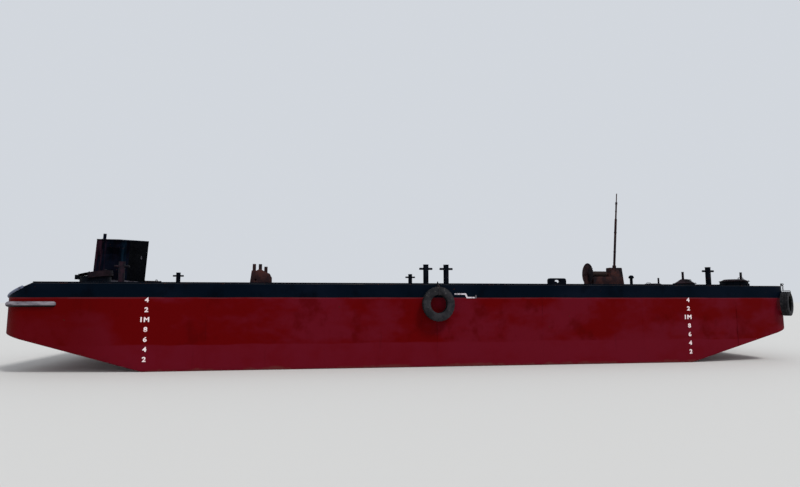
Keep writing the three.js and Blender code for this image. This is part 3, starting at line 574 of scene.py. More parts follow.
GUARD_START = 7.84
GUARD_RADIUS = 0.0551
GUARD_HEIGHT = 1.364
guard_pipe = bmesh.new()
guard_path = round_bow(GUARD_START, lambda fore: GUARD_HEIGHT)
drawn_bar(guard_pipe, GUARD_RADIUS, guard_path, sides=28)
for side in (-1, 1):
    bmesh.ops.create_uvsphere(guard_pipe, u_segments=28, v_segments=14, radius=GUARD_RADIUS * 0.997,
        matrix=moved((MIDSHIPS - GUARD_START, side * HALF_BEAM, GUARD_HEIGHT)))
fit(guard_pipe, "bow_guard_pipe", guard_sheen_paint, "bow_guard")

LIP_BAR_START = 8.42
LIP_BAR_RADIUS = 0.027


def lip_height(fore):
    return DECK - max(0.0, (fore - LIP_START) / (HALF_LENGTH - LIP_START)) * LIP_DROP


lip_bar = bmesh.new()
drawn_bar(lip_bar, LIP_BAR_RADIUS, round_bow(LIP_BAR_START, lip_height, 18), sides=16)
fit(lip_bar, "bow_lip_half_round", lip_bar_sheen_paint, "bow_lip_bar")


# Tyre fenders: worn truck tyres, open inside, with cracked sidewalls and shallow tread left.
# Each hangs on a laid wire strop round its top, a few links of chain, and a lug on the shell's edge.
rubber = Finish("rubber", (20, 20, 24), roughness=0.8, gloss=0.2)
rubber_cloud = rubber.grain(6, 6)
rubber_cracks = rubber.grain(60, 6, (1, 1, 1), (2, 5, 8), 0.7)
rubber.lay((44, 43, 46), rubber_cloud, 0.4, 0.64)
rubber.lay((88, 84, 84), rubber.grain(14, 7, (1, 1, 1), (6, 1, 1)), 0.56, 0.7, 0, 0.45)
rubber.lay((16, 16, 17), rubber_cracks, 0.6, 0.7, 0, 0.8)
rubber.roughness(rubber_cloud, 0.3, 0.7, 0.7, 0.92)
rubber.relief(rubber_cracks, 0.0018)

bare_steel = Finish("bare_steel", (50, 48, 52), roughness=0.6, metallic=0.3, gloss=0.2)
steel_cloud = bare_steel.grain(40, 6)
bare_steel.lay((54, 38, 34), steel_cloud, 0.42, 0.62)
bare_steel.roughness(steel_cloud, 0.4, 0.65, 0.4, 0.85)
bare_steel.relief(steel_cloud, 0.0008)

ROPE = 0.0068
STROP_GAP = 0.0073
TREAD_BLOCK = 0.0065
CHAIN = 0.005
LUG_REACH = 0.045
LUG_HOLE = (1.83, 0.012)
LUG_RADIUS = 0.0225
LUG_PLATE = 0.012
TYRES = [
    # name, outer radius, bead radius, width, how oval, x, y, heading
    ("side_port", 0.378, 0.196, 0.19, 0.93, 0.01, -2.5, 0.0),
    ("side_starboard", 0.378, 0.196, 0.19, 0.93, 0.01, 2.5, pi),
    ("stern_port", 0.295, 0.19, 0.17, 0.965, 8.36 + 0.5 * sin(radians(34)),
     -2.0 - 0.5 * cos(radians(34)), radians(34)),
    ("stern_starboard", 0.295, 0.19, 0.17, 0.965, 8.36 + 0.5 * sin(radians(34)),
     2.0 + 0.5 * cos(radians(34)), radians(146)),
]
TYRE_HEIGHT = 1.36
TREAD_STEPS = 96


def link_path(half_width, half_length, turned, middle):
    """Points round one chain link."""
    points = []
    straight = half_length - half_width
    for i in range(16):
        angle = (i + 0.5) / 16 * tau
        u = half_width * cos(angle)
        v = half_width * sin(angle) + copysign(straight, sin(angle))
        points.append(Vector((0, u, v) if turned else (u, 0, v)) + middle)
    return points


for name, outer, inner, width, oval, x, y, heading in TYRES:
    place = moved((MIDSHIPS + x, y, 0)) @ turned_by(heading, "Z")
    reach = 2 * STROP_GAP + width / 2
    half = width / 2
    tread = outer - 0.007
    depth = outer - inner
    section = [
        # across the tyre, distance from its axle
        (-0.8 * half, inner + 0.006), (-0.9 * half, inner + 0.1 * depth), (-0.985 * half, inner + 0.3 * depth),
        (-1.0 * half, inner + 0.5 * depth), (-0.985 * half, inner + 0.68 * depth), (-0.93 * half, outer - 0.022),
        (-0.86 * half, tread - 0.003), (-0.62 * half, tread), (-0.6 * half, tread - 0.009),
        (-0.54 * half, tread - 0.009), (-0.52 * half, tread), (-0.2 * half, tread), (-0.18 * half, tread - 0.009),
        (-0.1 * half, tread - 0.009), (-0.08 * half, tread),
    ]
    lining = [(0.0, tread - 0.019), (-0.7 * half, tread - 0.024), (-0.85 * half, inner + 0.68 * depth),
        (-0.87 * half, inner + 0.45 * depth), (-0.78 * half, inner + 0.16 * depth), (-0.62 * half, inner + 0.012),
        (-0.64 * half, inner + 0.001)]
    outline = section + [(-a, r) for a, r in reversed(section)]
    outline += [(-a, r) for a, r in reversed(lining)] + lining[1:]
    tyre = bmesh.new()
    ring = [tyre.verts.new((0, a, r)) for a, r in outline]
    rim = [tyre.edges.new((ring[i], ring[(i + 1) % len(ring)])) for i in range(len(ring))]
    bmesh.ops.spin(tyre, geom=ring + rim, cent=(0, 0, 0), axis=(0, 1, 0), dvec=(0, 0, 0), angle=tau,
        steps=TREAD_STEPS, use_merge=True, use_duplicate=False)
    blocks = []
    for f in tyre.faces:
        middle = f.calc_center_median()
        far = hypot(middle.x, middle.z)
        part_turned = int((atan2(middle.z, middle.x) / tau + 0.5) * TREAD_STEPS + (2 if middle.y > 0 else 0))
        if far > tread - 0.006 and part_turned % 4 != 0 and abs(abs(middle.y) / half - 0.57) > 0.04:
            if abs(abs(middle.y) / half - 0.14) > 0.05:
                blocks.append(f)
    raised = bmesh.ops.extrude_face_region(tyre, geom=blocks)
    bmesh.ops.delete(tyre, geom=blocks, context="FACES")
    for v in verts_in(raised["geom"]):
        far = hypot(v.co.x, v.co.z)
        v.co.x *= (far + TREAD_BLOCK) / far
        v.co.z *= (far + TREAD_BLOCK) / far
    fit(tyre, f"{name}_fender", rubber, f"{name}_tyre",
        place=place @ moved((0, -reach, TYRE_HEIGHT)) @ Matrix.Diagonal((oval, 1, 1, 1)))

    rope_top = TYRE_HEIGHT + outer + 0.0216
    rope_low = TYRE_HEIGHT + inner - STROP_GAP
    front = -reach - half - STROP_GAP
    back = -STROP_GAP
    corner = 0.028
    rope_path = []
    for centre_y, centre_z, quarter in ((back - corner, rope_top - corner, 0), (front + corner, rope_top - corner, 1),
            (front + corner, rope_low + corner, 2), (back - corner, rope_low + corner, 3)):
        for i in range(7):
            angle = (quarter + i / 6) * pi / 2
            rope_path.append((0, centre_y + corner * cos(angle), centre_z + corner * sin(angle)))
        nxt = (quarter + 1) * pi / 2
        here = Vector((centre_y, centre_z)) + corner * Vector((cos(nxt), sin(nxt)))
        heading_out = Vector((-sin(nxt), cos(nxt)))
        straight_run = (abs(front - back) - 2 * corner) if quarter in (0, 2) else (rope_top - rope_low - 2 * corner)
        for i in range(1, 9):
            spot = here + heading_out * straight_run * i / 9
            rope_path.append((0, spot.x, spot.y))
    strop = bmesh.new()
    lay = tau / 6 * 14 / len(rope_path)
    drawn_bar(strop, ROPE, rope_path, sides=12, closed=True, lobes=6, twist=lay)
    fit(strop, f"{name}_wire_strop", bare_steel, f"{name}_tyre_strop", place=place, sharp=60)

    chain_top = LUG_HOLE[0] - LUG_HOLE[1] + CHAIN
    chain_low = rope_top - ROPE - CHAIN
    links = 3 if chain_top - chain_low < 0.1 else 5
    pitch = (chain_top - chain_low - 2 * CHAIN) / links
    chain = bmesh.new()
    for i in range(links):
        middle = Vector((0, -LUG_REACH, chain_top - (pitch / 2 + CHAIN) - i * pitch))
        drawn_bar(chain, CHAIN, link_path(0.0112, pitch / 2 + CHAIN, i % 2 == 1, middle), sides=8, closed=True)
    fit(chain, f"{name}_chain", bare_steel, f"{name}_tyre_shackle", place=place)

    lug = bmesh.new()
    outer_edge = bmesh.ops.create_circle(lug, segments=28, radius=LUG_HOLE[1], cap_ends=False,
        matrix=turned_by(pi / 2, "Y"))
    hole_edges = edges_at(outer_edge["verts"])
    grown = bmesh.ops.extrude_edge_only(lug, edges=hole_edges)
    for v in verts_in(grown["geom"]):
        v.co *= LUG_RADIUS / LUG_HOLE[1]
        if v.co.y > 0.002:
            v.co.y = LUG_REACH - 0.0005
        if v.co.z < -0.002 and v.co.y > 0.002:
            v.co.z = -0.057
    bmesh.ops.translate(lug, vec=(-LUG_PLATE / 2, 0, 0), verts=lug.verts)
    thickened(lug, lug.faces[:], (LUG_PLATE, 0, 0))
    fit(lug, f"{name}_lug", black_paint, f"{name}_tyre_lug", place=place @ moved((0, -LUG_REACH, LUG_HOLE[0])))


# Mooring bitts: a length of thick pipe with a top plate, on a square doubler plate, with a round bar driven
# through it near the top to keep the rope's eye down. Black paint, worn through by ropes.
BITTS = [
    # node, x, side, whether rubbed down to red lead
    ("cross_bitt_bow_port", -6.693, -1, True),
    ("cross_bitt_midship_port_fore", -0.19, -1, False),
    ("cross_bitt_midship_port_aft", 0.28, -1, False),
    ("cross_bitt_stern_port", 6.87, -1, False),
    ("cross_bitt_bow_starboard", -6.743, 1, False),
    ("cross_bitt_midship_starboard", 0.15, 1, False),
    ("cross_bitt_stern_starboard", 6.87, 1, False),
]
BITT_INSET = 0.3
rusty_steel = Finish("rusty_steel", (38, 24, 27), roughness=0.85, gloss=0.08)
rust_cloud = rusty_steel.grain(5, 7)
rust_crust = rusty_steel.grain(24, 8, (1, 1, 1), (4, 1, 4), 0.72)
rusty_steel.lay((62, 36, 34), rust_cloud, 0.4, 0.62)
rusty_steel.lay((88, 46, 34), rust_crust, 0.56, 0.68, 0, 0.75)
rusty_steel.lay((20, 20, 26), rusty_steel.grain(3.2, 6, (1, 1, 0.5), (9, 9, 1)), 0.5, 0.62, 0, 0.8)
rusty_steel.roughness(rust_crust, 0.4, 0.7, 0.65, 0.95)
rusty_steel.relief(rust_crust, 0.0022)


def turned(mesh, outline, centre=(0, 0, 0), steps=36, axis="Z"):
    """Spins an outline of (radius, height) round an upright axis, or round X."""
    points = [mesh.verts.new((r, 0, h)) for r, h in outline]
    lines = [mesh.edges.new(pair) for pair in zip(points, points[1:])]
    bmesh.ops.spin(mesh, geom=points + lines, cent=(0, 0, 0), axis=(0, 0, 1), dvec=(0, 0, 0),
                   angle=tau, steps=steps, use_merge=True, use_duplicate=False)
    reached = set(points)
    front = list(points)
    while front:
        here = front.pop()
        for e in here.link_edges:
            other = e.other_vert(here)
            if other not in reached:
                reached.add(other)
                front.append(other)
    turn = Matrix.Identity(4) if axis == "Z" else turned_by(pi / 2, "Y")
    bmesh.ops.transform(mesh, verts=list(reached), matrix=moved(centre) @ turn)
    bmesh.ops.remove_doubles(mesh, verts=list(reached), dist=1e-5)


rubbed_paint = Finish("rubbed_paint", (14, 12, 20), roughness=0.75, gloss=0.08, slot="black_paint")
rubbed_cloud = rubbed_paint.grain(9, 6)
rubbed_paint.lay((40, 24, 33), rubbed_cloud, 0.4, 0.62)
rubbed_paint.roughness(rubbed_cloud, 0.4, 0.65, 0.55, 0.85)
rubbed_paint.relief(rubbed_cloud, 0.0012)
for node, x, side, rusty in BITTS:
    at = Vector((MIDSHIPS + x, side * (HALF_BEAM - BITT_INSET), DECK))
    bitt = bmesh.new()
    block(bitt, at + Vector((-0.099, -0.099, 0.0005)), at + Vector((0.099, 0.099, 0.012)), edge=0.003)
    turned(bitt, [(0.0, 0.011), (0.069, 0.011), (0.0675, 0.016), (0.0615, 0.022), (0.0605, 0.03), (0.0605, 0.448),
        (0.062, 0.4495), (0.0655, 0.451), (0.066, 0.4525), (0.066, 0.458), (0.0645, 0.4597), (0.0, 0.4597)], at)
    for end in (-1, 1):
        turned(bitt, [(0.0325, 0.0515 * end), (0.031, 0.0595 * end), (0.0262, 0.0655 * end), (0.0246, 0.0675 * end),
            (0.0246, 0.1465 * end), (0.0232, 0.1492 * end), (0.0, 0.1498 * end)], at + Vector((0, 0, 0.362)),
            steps=20, axis="X")
    fit(bitt, node.replace("cross_bitt", "mooring_bitt"), rubbed_paint if rusty else black_paint, node)


# Chocks: cast rope guides near the deck edge, a thick block with an oval mouth, rounded off so that ropes don't
# chafe, on a flat foot that is welded down.
CHOCK = {"x": 2.871, "inset": 0.15, "depth": 0.12}
CHOCK_RINGS = [
    # length, height, radius of the corners, height of the middle over the deck
    (0.421, 0.158, 0.05, 0.08),
    (0.134, 0.068, 0.034, 0.088),
]
for side_name, side in (("port", -1), ("starboard", 1)):
    at = Vector((MIDSHIPS + CHOCK["x"], side * (HALF_BEAM - CHOCK["inset"]), DECK))
    chock = bmesh.new()
    rings = []
    for length, height, corner, middle in CHOCK_RINGS:
        made = bmesh.ops.create_circle(chock, cap_ends=False, segments=40, radius=corner,
            matrix=turned_by(pi / 2, "X"))
        for v in made["verts"]:
            v.co.x += copysign(length / 2 - corner, v.co.x) if abs(v.co.x) > 1e-6 else 0
            v.co.z += copysign(height / 2 - corner, v.co.z) if abs(v.co.z) > 1e-6 else 0
            v.co.z += middle
            v.co.y = -CHOCK["depth"] / 2 + 0.001
        rings += edges_at(made["verts"])
    bmesh.ops.bridge_loops(chock, edges=rings)
    thickened(chock, chock.faces[:], (0, CHOCK["depth"] - 0.002, 0))
    bmesh.ops.recalc_face_normals(chock, faces=chock.faces)
    lips = [e for e in chock.edges if len(e.link_faces) == 2 and e.calc_face_angle() > radians(60)]
    bmesh.ops.bevel(chock, geom=lips, offset=0.013, segments=5, profile=0.5, affect="EDGES", material=-1,
        clamp_overlap=True)
    block(chock, (-0.1815, -0.074, 0.0005), (0.1815, 0.074, 0.018), edge=0.004)
    fit(chock, f"closed_chock_{side_name}", black_paint, f"chock_{side_name}", place=moved(at), sharp=40)


# Three-post rack: two plasma-cut cheek plates on a foot, with three capped pipes between them,
# where lines are belayed and boathooks are stood. Rusty all over.
RACK = {"x": -3.875, "inset": 0.45, "depth": 0.095, "plate": 0.016, "eye": (-0.085, 0.095, 0.024)}
RACK_POSTS = [(-0.13, 0.447), (0.0, 0.445), (0.12, 0.389)]
RACK_CHEEK = [(-0.207, 0.0005), (0.247, 0.0005), (0.245, 0.15), (0.195, 0.24), (0.15, 0.258), (0.085, 0.29),
    (0.0, 0.34), (-0.07, 0.298), (-0.172, 0.3)]
rack = bmesh.new()
for y0 in (-RACK["depth"], RACK["depth"] - RACK["plate"]):
    cheek = [rack.verts.new((x, y0, z)) for x, z in RACK_CHEEK]
    edge = [rack.edges.new((cheek[i], cheek[(i + 1) % len(cheek)])) for i in range(len(cheek))]
    eye_x, eye_z, eye_radius = RACK["eye"]
    if y0 < 0:
        eye = bmesh.ops.create_circle(rack, cap_ends=False, segments=28, radius=eye_radius,
            matrix=moved((eye_x, y0, eye_z)) @ turned_by(pi / 2, "X"))
        edge += edges_at(eye["verts"])
    filled = bmesh.ops.triangle_fill(rack, edges=edge, use_beauty=True, use_dissolve=False, normal=(0, 1, 0))
    faces = [g for g in filled["geom"] if isinstance(g, bmesh.types.BMFace)]
    thickened(rack, faces, (0, RACK["plate"], 0))
bmesh.ops.recalc_face_normals(rack, faces=rack.faces)
sharp_edges = [e for e in rack.edges if len(e.link_faces) == 2 and e.calc_face_angle() > radians(50)]
rounded(rack, sharp_edges, 0.0025, 2)
block(rack, (-0.2165, -0.1045, 0.0005), (0.2565, 0.1045, 0.0118), edge=0.002)
for x, height in RACK_POSTS:
    turned(rack, [(0.0, 0.01), (0.042, 0.012), (0.0372, 0.02), (0.0362, 0.03), (0.0362, height - 0.012),
        (0.0368, height - 0.01), (0.0368, height - 0.003), (0.034, height - 0.0006), (0.0, height - 0.0006)],
        (x, 0, 0), steps=28)
    block(rack, (x - 0.011, -0.094, 0.151), (x + 0.011, 0.094, 0.199), edge=0.002)
for x in (-0.15, -0.07, 0.06, 0.17):
    for y in (-0.0955, 0.0955):
        bead(rack, (x - 0.03, y, 0.013), (x + 0.03, y, 0.013), radius=0.0035)
rack_place = moved((MIDSHIPS + RACK["x"], -(HALF_BEAM - RACK["inset"]), DECK))
fit(rack, "three_post_belaying_rack", rusty_steel, "three_post_rack", place=rack_place)


# Hatches: round manholes with a coaming rolled from flat bar, and a lid that swings on a pin. The after lids are
# pressed to low cones and carry a short capped stub for sounding the tank. The bow lids are flat with a skirt,
# and the port one stands ajar on a flat bar that sits on the rim.
HATCHES = [
    # name, x, side, heading, radius, height of the rim, crown of the lid, radius of its top, depth of its skirt,
    # ajar, place of the stub on the lid (0 for none)
    ("bow_port", -7.4, -1, 90, 0.3, 0.17, 0.0, 0.0, 0.11, 9.4, 0.0),
    ("aft_port", 6.596, -1, 0, 0.24, 0.06, 0.108, 0.08, 0.0, 0.0, -0.038),
    ("stern_port", 7.996, -1, 0, 0.31, 0.12, 0.048, 0.222, 0.0, 0.0, 0.204),
    ("bow_starboard", -7.4, 1, 90, 0.3, 0.17, 0.0, 0.0, 0.11, 0.0, 0.0),
    ("aft_starboard", 6.596, 1, 180, 0.24, 0.06, 0.108, 0.08, 0.0, 0.0, -0.038),
    ("stern_starboard", 7.996, 1, 180, 0.31, 0.12, 0.048, 0.222, 0.0, 0.0, 0.204),
]
HATCH_INSET = 0.8
HINGE_REACH = 0.07
HINGE_RISE = 0.012
lid_paint = Finish("lid_paint", (17, 10, 15), roughness=0.8, gloss=0.08, slot="rusty_steel")
lid_cloud = lid_paint.grain(4, 7)
lid_crust = lid_paint.grain(20, 8, (1, 1, 1), (4, 6, 4), 0.72)
lid_paint.lay((34, 22, 28), lid_cloud, 0.38, 0.62)
lid_paint.lay((66, 38, 34), lid_crust, 0.58, 0.68, 0, 0.7)
lid_paint.lay((16, 15, 22), lid_paint.grain(2.4, 6, (1, 1, 1), (1, 9, 3)), 0.52, 0.62, 0, 0.7)
lid_paint.relief(lid_crust, 0.002)
for name, x, side, heading, radius, rim, crown, top_radius, skirt, ajar, stub_x in HATCHES:
    place = moved((MIDSHIPS + x, side * (HALF_BEAM - HATCH_INSET), DECK)) @ turned_by(radians(heading), "Z")
    hinge = Vector((0, radius + HINGE_REACH, rim + HINGE_RISE))
    coaming = bmesh.new()
    turned(coaming, [(radius - 0.011, 0.0008), (radius + 0.0255, 0.0008), (radius + 0.0255, 0.01),
        (radius + 0.024, 0.0118), (radius + 0.005, 0.0122), (radius - 0.0005, 0.018), (radius - 0.0005, rim - 0.003),
        (radius - 0.002, rim - 0.0005), (radius - 0.0085, rim - 0.0005), (radius - 0.01, rim - 0.002),
        (radius - 0.011, 0.0008)], steps=64)
    for end in (-1, 1):
        inner_x, outer_x = sorted((end * 0.0743, end * 0.0957))
        block(coaming, (inner_x, radius - 0.018, max(0.0115, rim - 0.073)), (outer_x, radius + 0.0855, rim + 0.0275),
            edge=0.005)
    turned(coaming, [(0.0, -0.103), (0.011, -0.103), (0.012, -0.1015), (0.012, -0.0965), (0.0088, -0.096),
        (0.0088, 0.096), (0.0, 0.096)], hinge, steps=20, axis="X")
    bracket_top = 0.052 if skirt else rim * 0.6
    for i in range(12):
        angle = (i + 0.5) / 12 * tau
        if abs(sin(angle) - 1) < 0.2:
            continue
        bracket = turned_by(angle, "Z")
        block(coaming, (radius - 0.001, -0.004, 0.011), (radius + 0.02, 0.004, bracket_top), edge=0.0015, segments=1,
            place=bracket)
    fit(coaming, f"manhole_coaming_{name}", black_paint, f"hatch_coaming_{name}", place=place)

    swung = place @ moved(hinge) @ turned_by(-radians(ajar), "X") @ moved(-hinge)
    top = rim + 0.017
    edge = radius + 0.032
    cover = bmesh.new()
    if crown:
        crowned = [(radius - 0.012, top + 0.005), (top_radius + 0.002, top + crown - 0.003),
            (top_radius - 0.02, top + crown - 0.0004), (0.0, top + crown)]
    else:
        crowned = [(edge - 0.032, top + 0.0015), (edge - 0.036, top - 0.0006), (0.1, top + 0.001), (0.0, top + 0.001)]
    turned(cover, [(0.0, rim + 0.0055), (radius - 0.04, rim + 0.0055), (radius - 0.02, rim + 0.0065),
        (edge - 0.016, rim + 0.0055), (edge - 0.0015, rim + 0.0065), (edge - 0.0005, rim + 0.009),
        (edge - 0.0015, top - 0.0005), (edge - 0.027, top + 0.0005), *crowned], steps=64)
    for v in list(cover.verts):
        if v.co.y > radius - 0.029 and 0.066 < abs(v.co.x) < 0.104:
            v.co.y = radius - 0.029
    if skirt:
        low = rim + 0.0055 - skirt
        high = rim + 0.0085
        start = asin(0.039 / edge)
        hung = bmesh.ops.create_circle(cover, cap_ends=True, segments=4, radius=0.01)["verts"]
        for v, (r, z) in zip(hung, ((edge - 0.0075, low), (edge - 0.001, low), (edge - 0.001, high),
                (edge - 0.0075, high))):
            v.co = Vector((r * cos(start), r * sin(start), z))
        hung_edges = edges_at(hung)
        bent = bmesh.ops.spin(cover, geom=hung + hung_edges, cent=(0, 0, 0), axis=(0, 0, 1), dvec=(0, 0, 0),
            angle=-pi - 2 * start, steps=44, use_merge=False, use_duplicate=False)
        bmesh.ops.contextual_create(cover, geom=edges_in(bent["geom_last"]))
    block(cover, (-0.064, radius - 0.14, rim + 0.0062), (0.064, radius + 0.065, top + 0.0035), edge=0.003)
    turned(cover, [(0.0095, -0.0685), (0.0152, -0.0685), (0.016, -0.0675), (0.016, 0.0675), (0.0152, 0.0685),
        (0.0095, 0.0685), (0.0095, -0.0685)], hinge, steps=20, axis="X")
    grip_y = 0.09 - radius
    slope = crown / (radius - top_radius)
    grip = top + min(crown, slope * (radius - hypot(0.07, grip_y))) + 0.036
    drawn_bar(cover, 0.0088, [(-0.07, grip_y, top), (-0.07, grip_y, grip - 0.018), (-0.067, grip_y, grip - 0.008),
        (-0.059, grip_y, grip - 0.002), (-0.048, grip_y, grip), (0.048, grip_y, grip), (0.059, grip_y, grip - 0.002),
        (0.067, grip_y, grip - 0.008), (0.07, grip_y, grip - 0.018), (0.07, grip_y, top)], sides=12)
    if stub_x:
        foot = top + crown
        turned(cover, [(0.0, foot - 0.018), (0.034, foot - 0.017), (0.034, foot + 0.003), (0.0285, foot + 0.008),
            (0.0275, foot + 0.018), (0.0275, 0.338), (0.0262, 0.339), (0.0262, 0.342), (0.0278, 0.3435),
            (0.0278, 0.365), (0.0255, 0.3695), (0.0, 0.3695)], (-side * stub_x, 0, 0), steps=28)
    for i in range(6):
        angle = (i + 0.5) / 6 * tau + pi / 6
        if abs(sin(angle) - 1) < 0.05:
            continue
        turned(cover, [(0.0, top - 0.002), (0.0115, top - 0.002), (0.0115, top + 0.008), (0.01, top + 0.009),
            (0.006, top + 0.0092), (0.006, top + 0.016), (0.0, top + 0.0165)],
            ((edge - 0.016) * cos(angle), (edge - 0.016) * sin(angle), 0), steps=6)
    fit(cover, f"manhole_lid_{name}", lid_paint, f"hatch_lid_{name}", body=f"hatch_lid_{name}", place=swung)

    if ajar:
        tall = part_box(f"hatch_prop_{name}")[1].z - DECK
        prop = bmesh.new()
        for half, y0, y1, z0, z1 in ((0.0178, -0.0022, -0.0108, 0.0005, 0.01),
                (0.0178, -0.0022, -0.0108, tall - rim - 0.008, tall - rim),
                (0.013, -0.004, -0.0092, 0.009, tall - rim - 0.0075)):
            block(prop, (-half, -radius - y0, rim + z0), (half, -radius - y1, rim + z1), edge=0.001, segments=1)
        fit(prop, f"manhole_prop_{name}", rusty_steel, f"hatch_prop_{name}", place=place)


# Mushroom vents: a steel pipe from the tank with a spun cap over it that keeps spray out.
# The pipe is welded into a flange on the deck.
VENT = {"x": 4.88, "inset": 0.38}
for side_name, side in (("port", -1), ("starboard", 1)):
    vent = bmesh.new()
    turned(vent, [(0.0, 0.0008), (0.052, 0.0008), (0.052, 0.007), (0.04, 0.01), (0.0345, 0.016), (0.0338, 0.03),
        (0.0338, 0.165), (0.038, 0.168), (0.04, 0.18), (0.052, 0.181), (0.0585, 0.179), (0.0612, 0.182),
        (0.0612, 0.205), (0.059, 0.213), (0.051, 0.23), (0.038, 0.2435), (0.02, 0.2505), (0.0, 0.2513)],
        (MIDSHIPS + VENT["x"], side * (HALF_BEAM - VENT["inset"]), DECK), steps=32)
    fit(vent, f"tank_vent_{side_name}", black_paint, f"mushroom_vent_{side_name}")


# Winch: a welded frame with a bearing pedestal and a tapered gear case between two bed plates, bolted to the deck
# by its base. The drum has one tall flange and one low one, and carries some turns of old wire rope.
WINCH = Vector((MIDSHIPS + 4.08, -1.5, DECK))
SHAFT = 0.303
winch_base = bmesh.new()
block(winch_base, (-0.0665, -0.2495, 0.0005), (0.9715, 0.2495, 0.0198), edge=0.003)
for x in (-0.04, 0.22, 0.46, 0.7, 0.915):
    for y in (-0.215, 0.215):
        turned(winch_base, [(0.0, 0.019), (0.021, 0.019), (0.021, 0.022), (0.0165, 0.0225), (0.0165, 0.034),
            (0.015, 0.0355), (0.009, 0.0358), (0.009, 0.046), (0.0, 0.047)], (x, y, 0), steps=6)
for y in (-0.2495, 0.2385):
    block(winch_base, (0.0305, y, 0.019), (0.7945, y + 0.011, 0.2345), edge=0.003)
    for x in (0.08, 0.27, 0.46, 0.62, 0.77):
        rib = -copysign(1.0, y)
        y0, y1 = sorted((y + 0.0055, y + 0.0055 + rib * 0.035))
        block(winch_base, (x - 0.003, y0, 0.019), (x + 0.003, y1, 0.2), edge=0.001, segments=1)
PEDESTAL = ((-0.11, 0.019), (0.11, 0.019), (0.06, 0.303), (0.052, 0.329), (0.035, 0.347), (0.0, 0.3528),
    (-0.035, 0.347), (-0.052, 0.329), (-0.06, 0.303))
plate(winch_base, [(-0.0468, y, z) for y, z in PEDESTAL], (0.0396, 0, 0))
GEAR_CASE = ((0.5443, 0.019), (0.9515, 0.019), (0.901, 0.45), (0.8925, 0.468), (0.878, 0.4698), (0.564, 0.4698),
    (0.552, 0.466), (0.5478, 0.45))
plate(winch_base, [(x, -0.0698, z) for x, z in GEAR_CASE], (0, 0.1396, 0))
for side in (-1, 1):
    block(winch_base, (0.575, side * 0.075 - 0.0055, 0.06), (0.85, side * 0.075 + 0.0055, 0.42), edge=0.003)
    for x, z in ((0.592, 0.078), (0.7125, 0.078), (0.833, 0.078), (0.592, 0.402), (0.7125, 0.402), (0.833, 0.402),
            (0.592, 0.24), (0.833, 0.24)):
        head = moved((x, side * 0.0855, z)) @ turned_by(-side * pi / 2, "X")
        bmesh.ops.create_cone(winch_base, cap_ends=True, segments=6, radius1=0.011, radius2=0.01, depth=0.01,
            matrix=head)
turned(winch_base, [(0.0272, 0.0), (0.058, 0.0), (0.06, 0.002), (0.06, 0.0075), (0.056, 0.01), (0.0272, 0.01),
    (0.0272, 0.0)], (0.5345, 0, SHAFT), steps=28, axis="X")
turned(winch_base, [(0.0, 0.455), (0.02, 0.455), (0.02, 0.469), (0.018, 0.4697), (0.0, 0.4697)], (0.6, 0.035, 0),
    steps=20)
fit(winch_base, "winch_base_and_gear_case", rusty_steel, "winch_frame", place=moved(WINCH))

drum = bmesh.new()
turned(drum, [(0.0, -0.0588), (0.024, -0.0588), (0.0258, -0.057), (0.0258, 0.0), (0.07, 0.0), (0.08, 0.0015),
    (0.268, 0.0015), (0.2765, 0.003), (0.2775, 0.006), (0.2765, 0.0105), (0.266, 0.0118), (0.07, 0.0118),
    (0.0615, 0.018), (0.0615, 0.512), (0.066, 0.518), (0.08, 0.518), (0.085, 0.52), (0.0858, 0.524), (0.085, 0.529),
    (0.045, 0.5298), (0.0258, 0.5298), (0.0258, 0.594), (0.0, 0.596)], (0, 0, SHAFT), steps=72, axis="X")
for i in range(6):
    angle = i / 6 * tau
    rib = moved((0, 0, SHAFT)) @ turned_by(angle, "X")
    block(drum, (-0.0035, 0.045, -0.004), (0.002, 0.256, 0.004), edge=0.001, segments=1, place=rib)
for i in range(28):
    angle = (i + 0.5) / 28 * tau
    tooth = moved((0, 0, SHAFT)) @ turned_by(angle, "X")
    block(drum, (0.013, 0.238, -0.01), (0.03, 0.262, 0.01), edge=0.002, segments=1, place=tooth)
turned(drum, [(0.238, 0.0115), (0.242, 0.0115), (0.242, 0.03), (0.238, 0.03), (0.238, 0.0115)], (0, 0, SHAFT),
    steps=56, axis="X")
fit(drum, "winch_drum_and_flanges", rusty_steel, "winch_drum", body="winch_drum", place=moved(WINCH))


# Winch wire: old laid steel rope, wound in one layer of close turns on the drum, dry and brown with rust.
# It has no tail, because the photo shows none.
WIRE_TURNS = 29
WIRE_RADIUS = 0.0075
wire = bmesh.new()
start = bmesh.ops.create_circle(wire, cap_ends=False, segments=8, radius=WIRE_RADIUS, matrix=moved((0.04, 0.069, 0)))
wire_ring = start["verts"]
wire_edges = edges_at(wire_ring)
bmesh.ops.contextual_create(wire, geom=wire_edges)
wound = bmesh.ops.spin(wire, geom=wire_ring + wire_edges, cent=(0, 0, 0), axis=(1, 0, 0),
    dvec=(WIRE_RADIUS * 2.06 / 24, 0, 0), angle=tau * WIRE_TURNS, steps=24 * WIRE_TURNS, use_merge=False,
    use_duplicate=False)
bmesh.ops.contextual_create(wire, geom=edges_in(wound["geom_last"]))
bmesh.ops.translate(wire, vec=WINCH + Vector((0, 0, SHAFT)), verts=wire.verts)
wire_steel = Finish("wire_steel", (62, 48, 44), roughness=0.65, metallic=0.3, gloss=0.2, slot="rusty_steel")
wire_lay = wire_steel.grain(120, 4, (0.3, 1, 1))
wire_steel.lay((38, 26, 26), wire_lay, 0.42, 0.6)
wire_steel.relief(wire_lay, 0.0015)
fit(wire, "winch_wire", wire_steel, body="winch_drum")


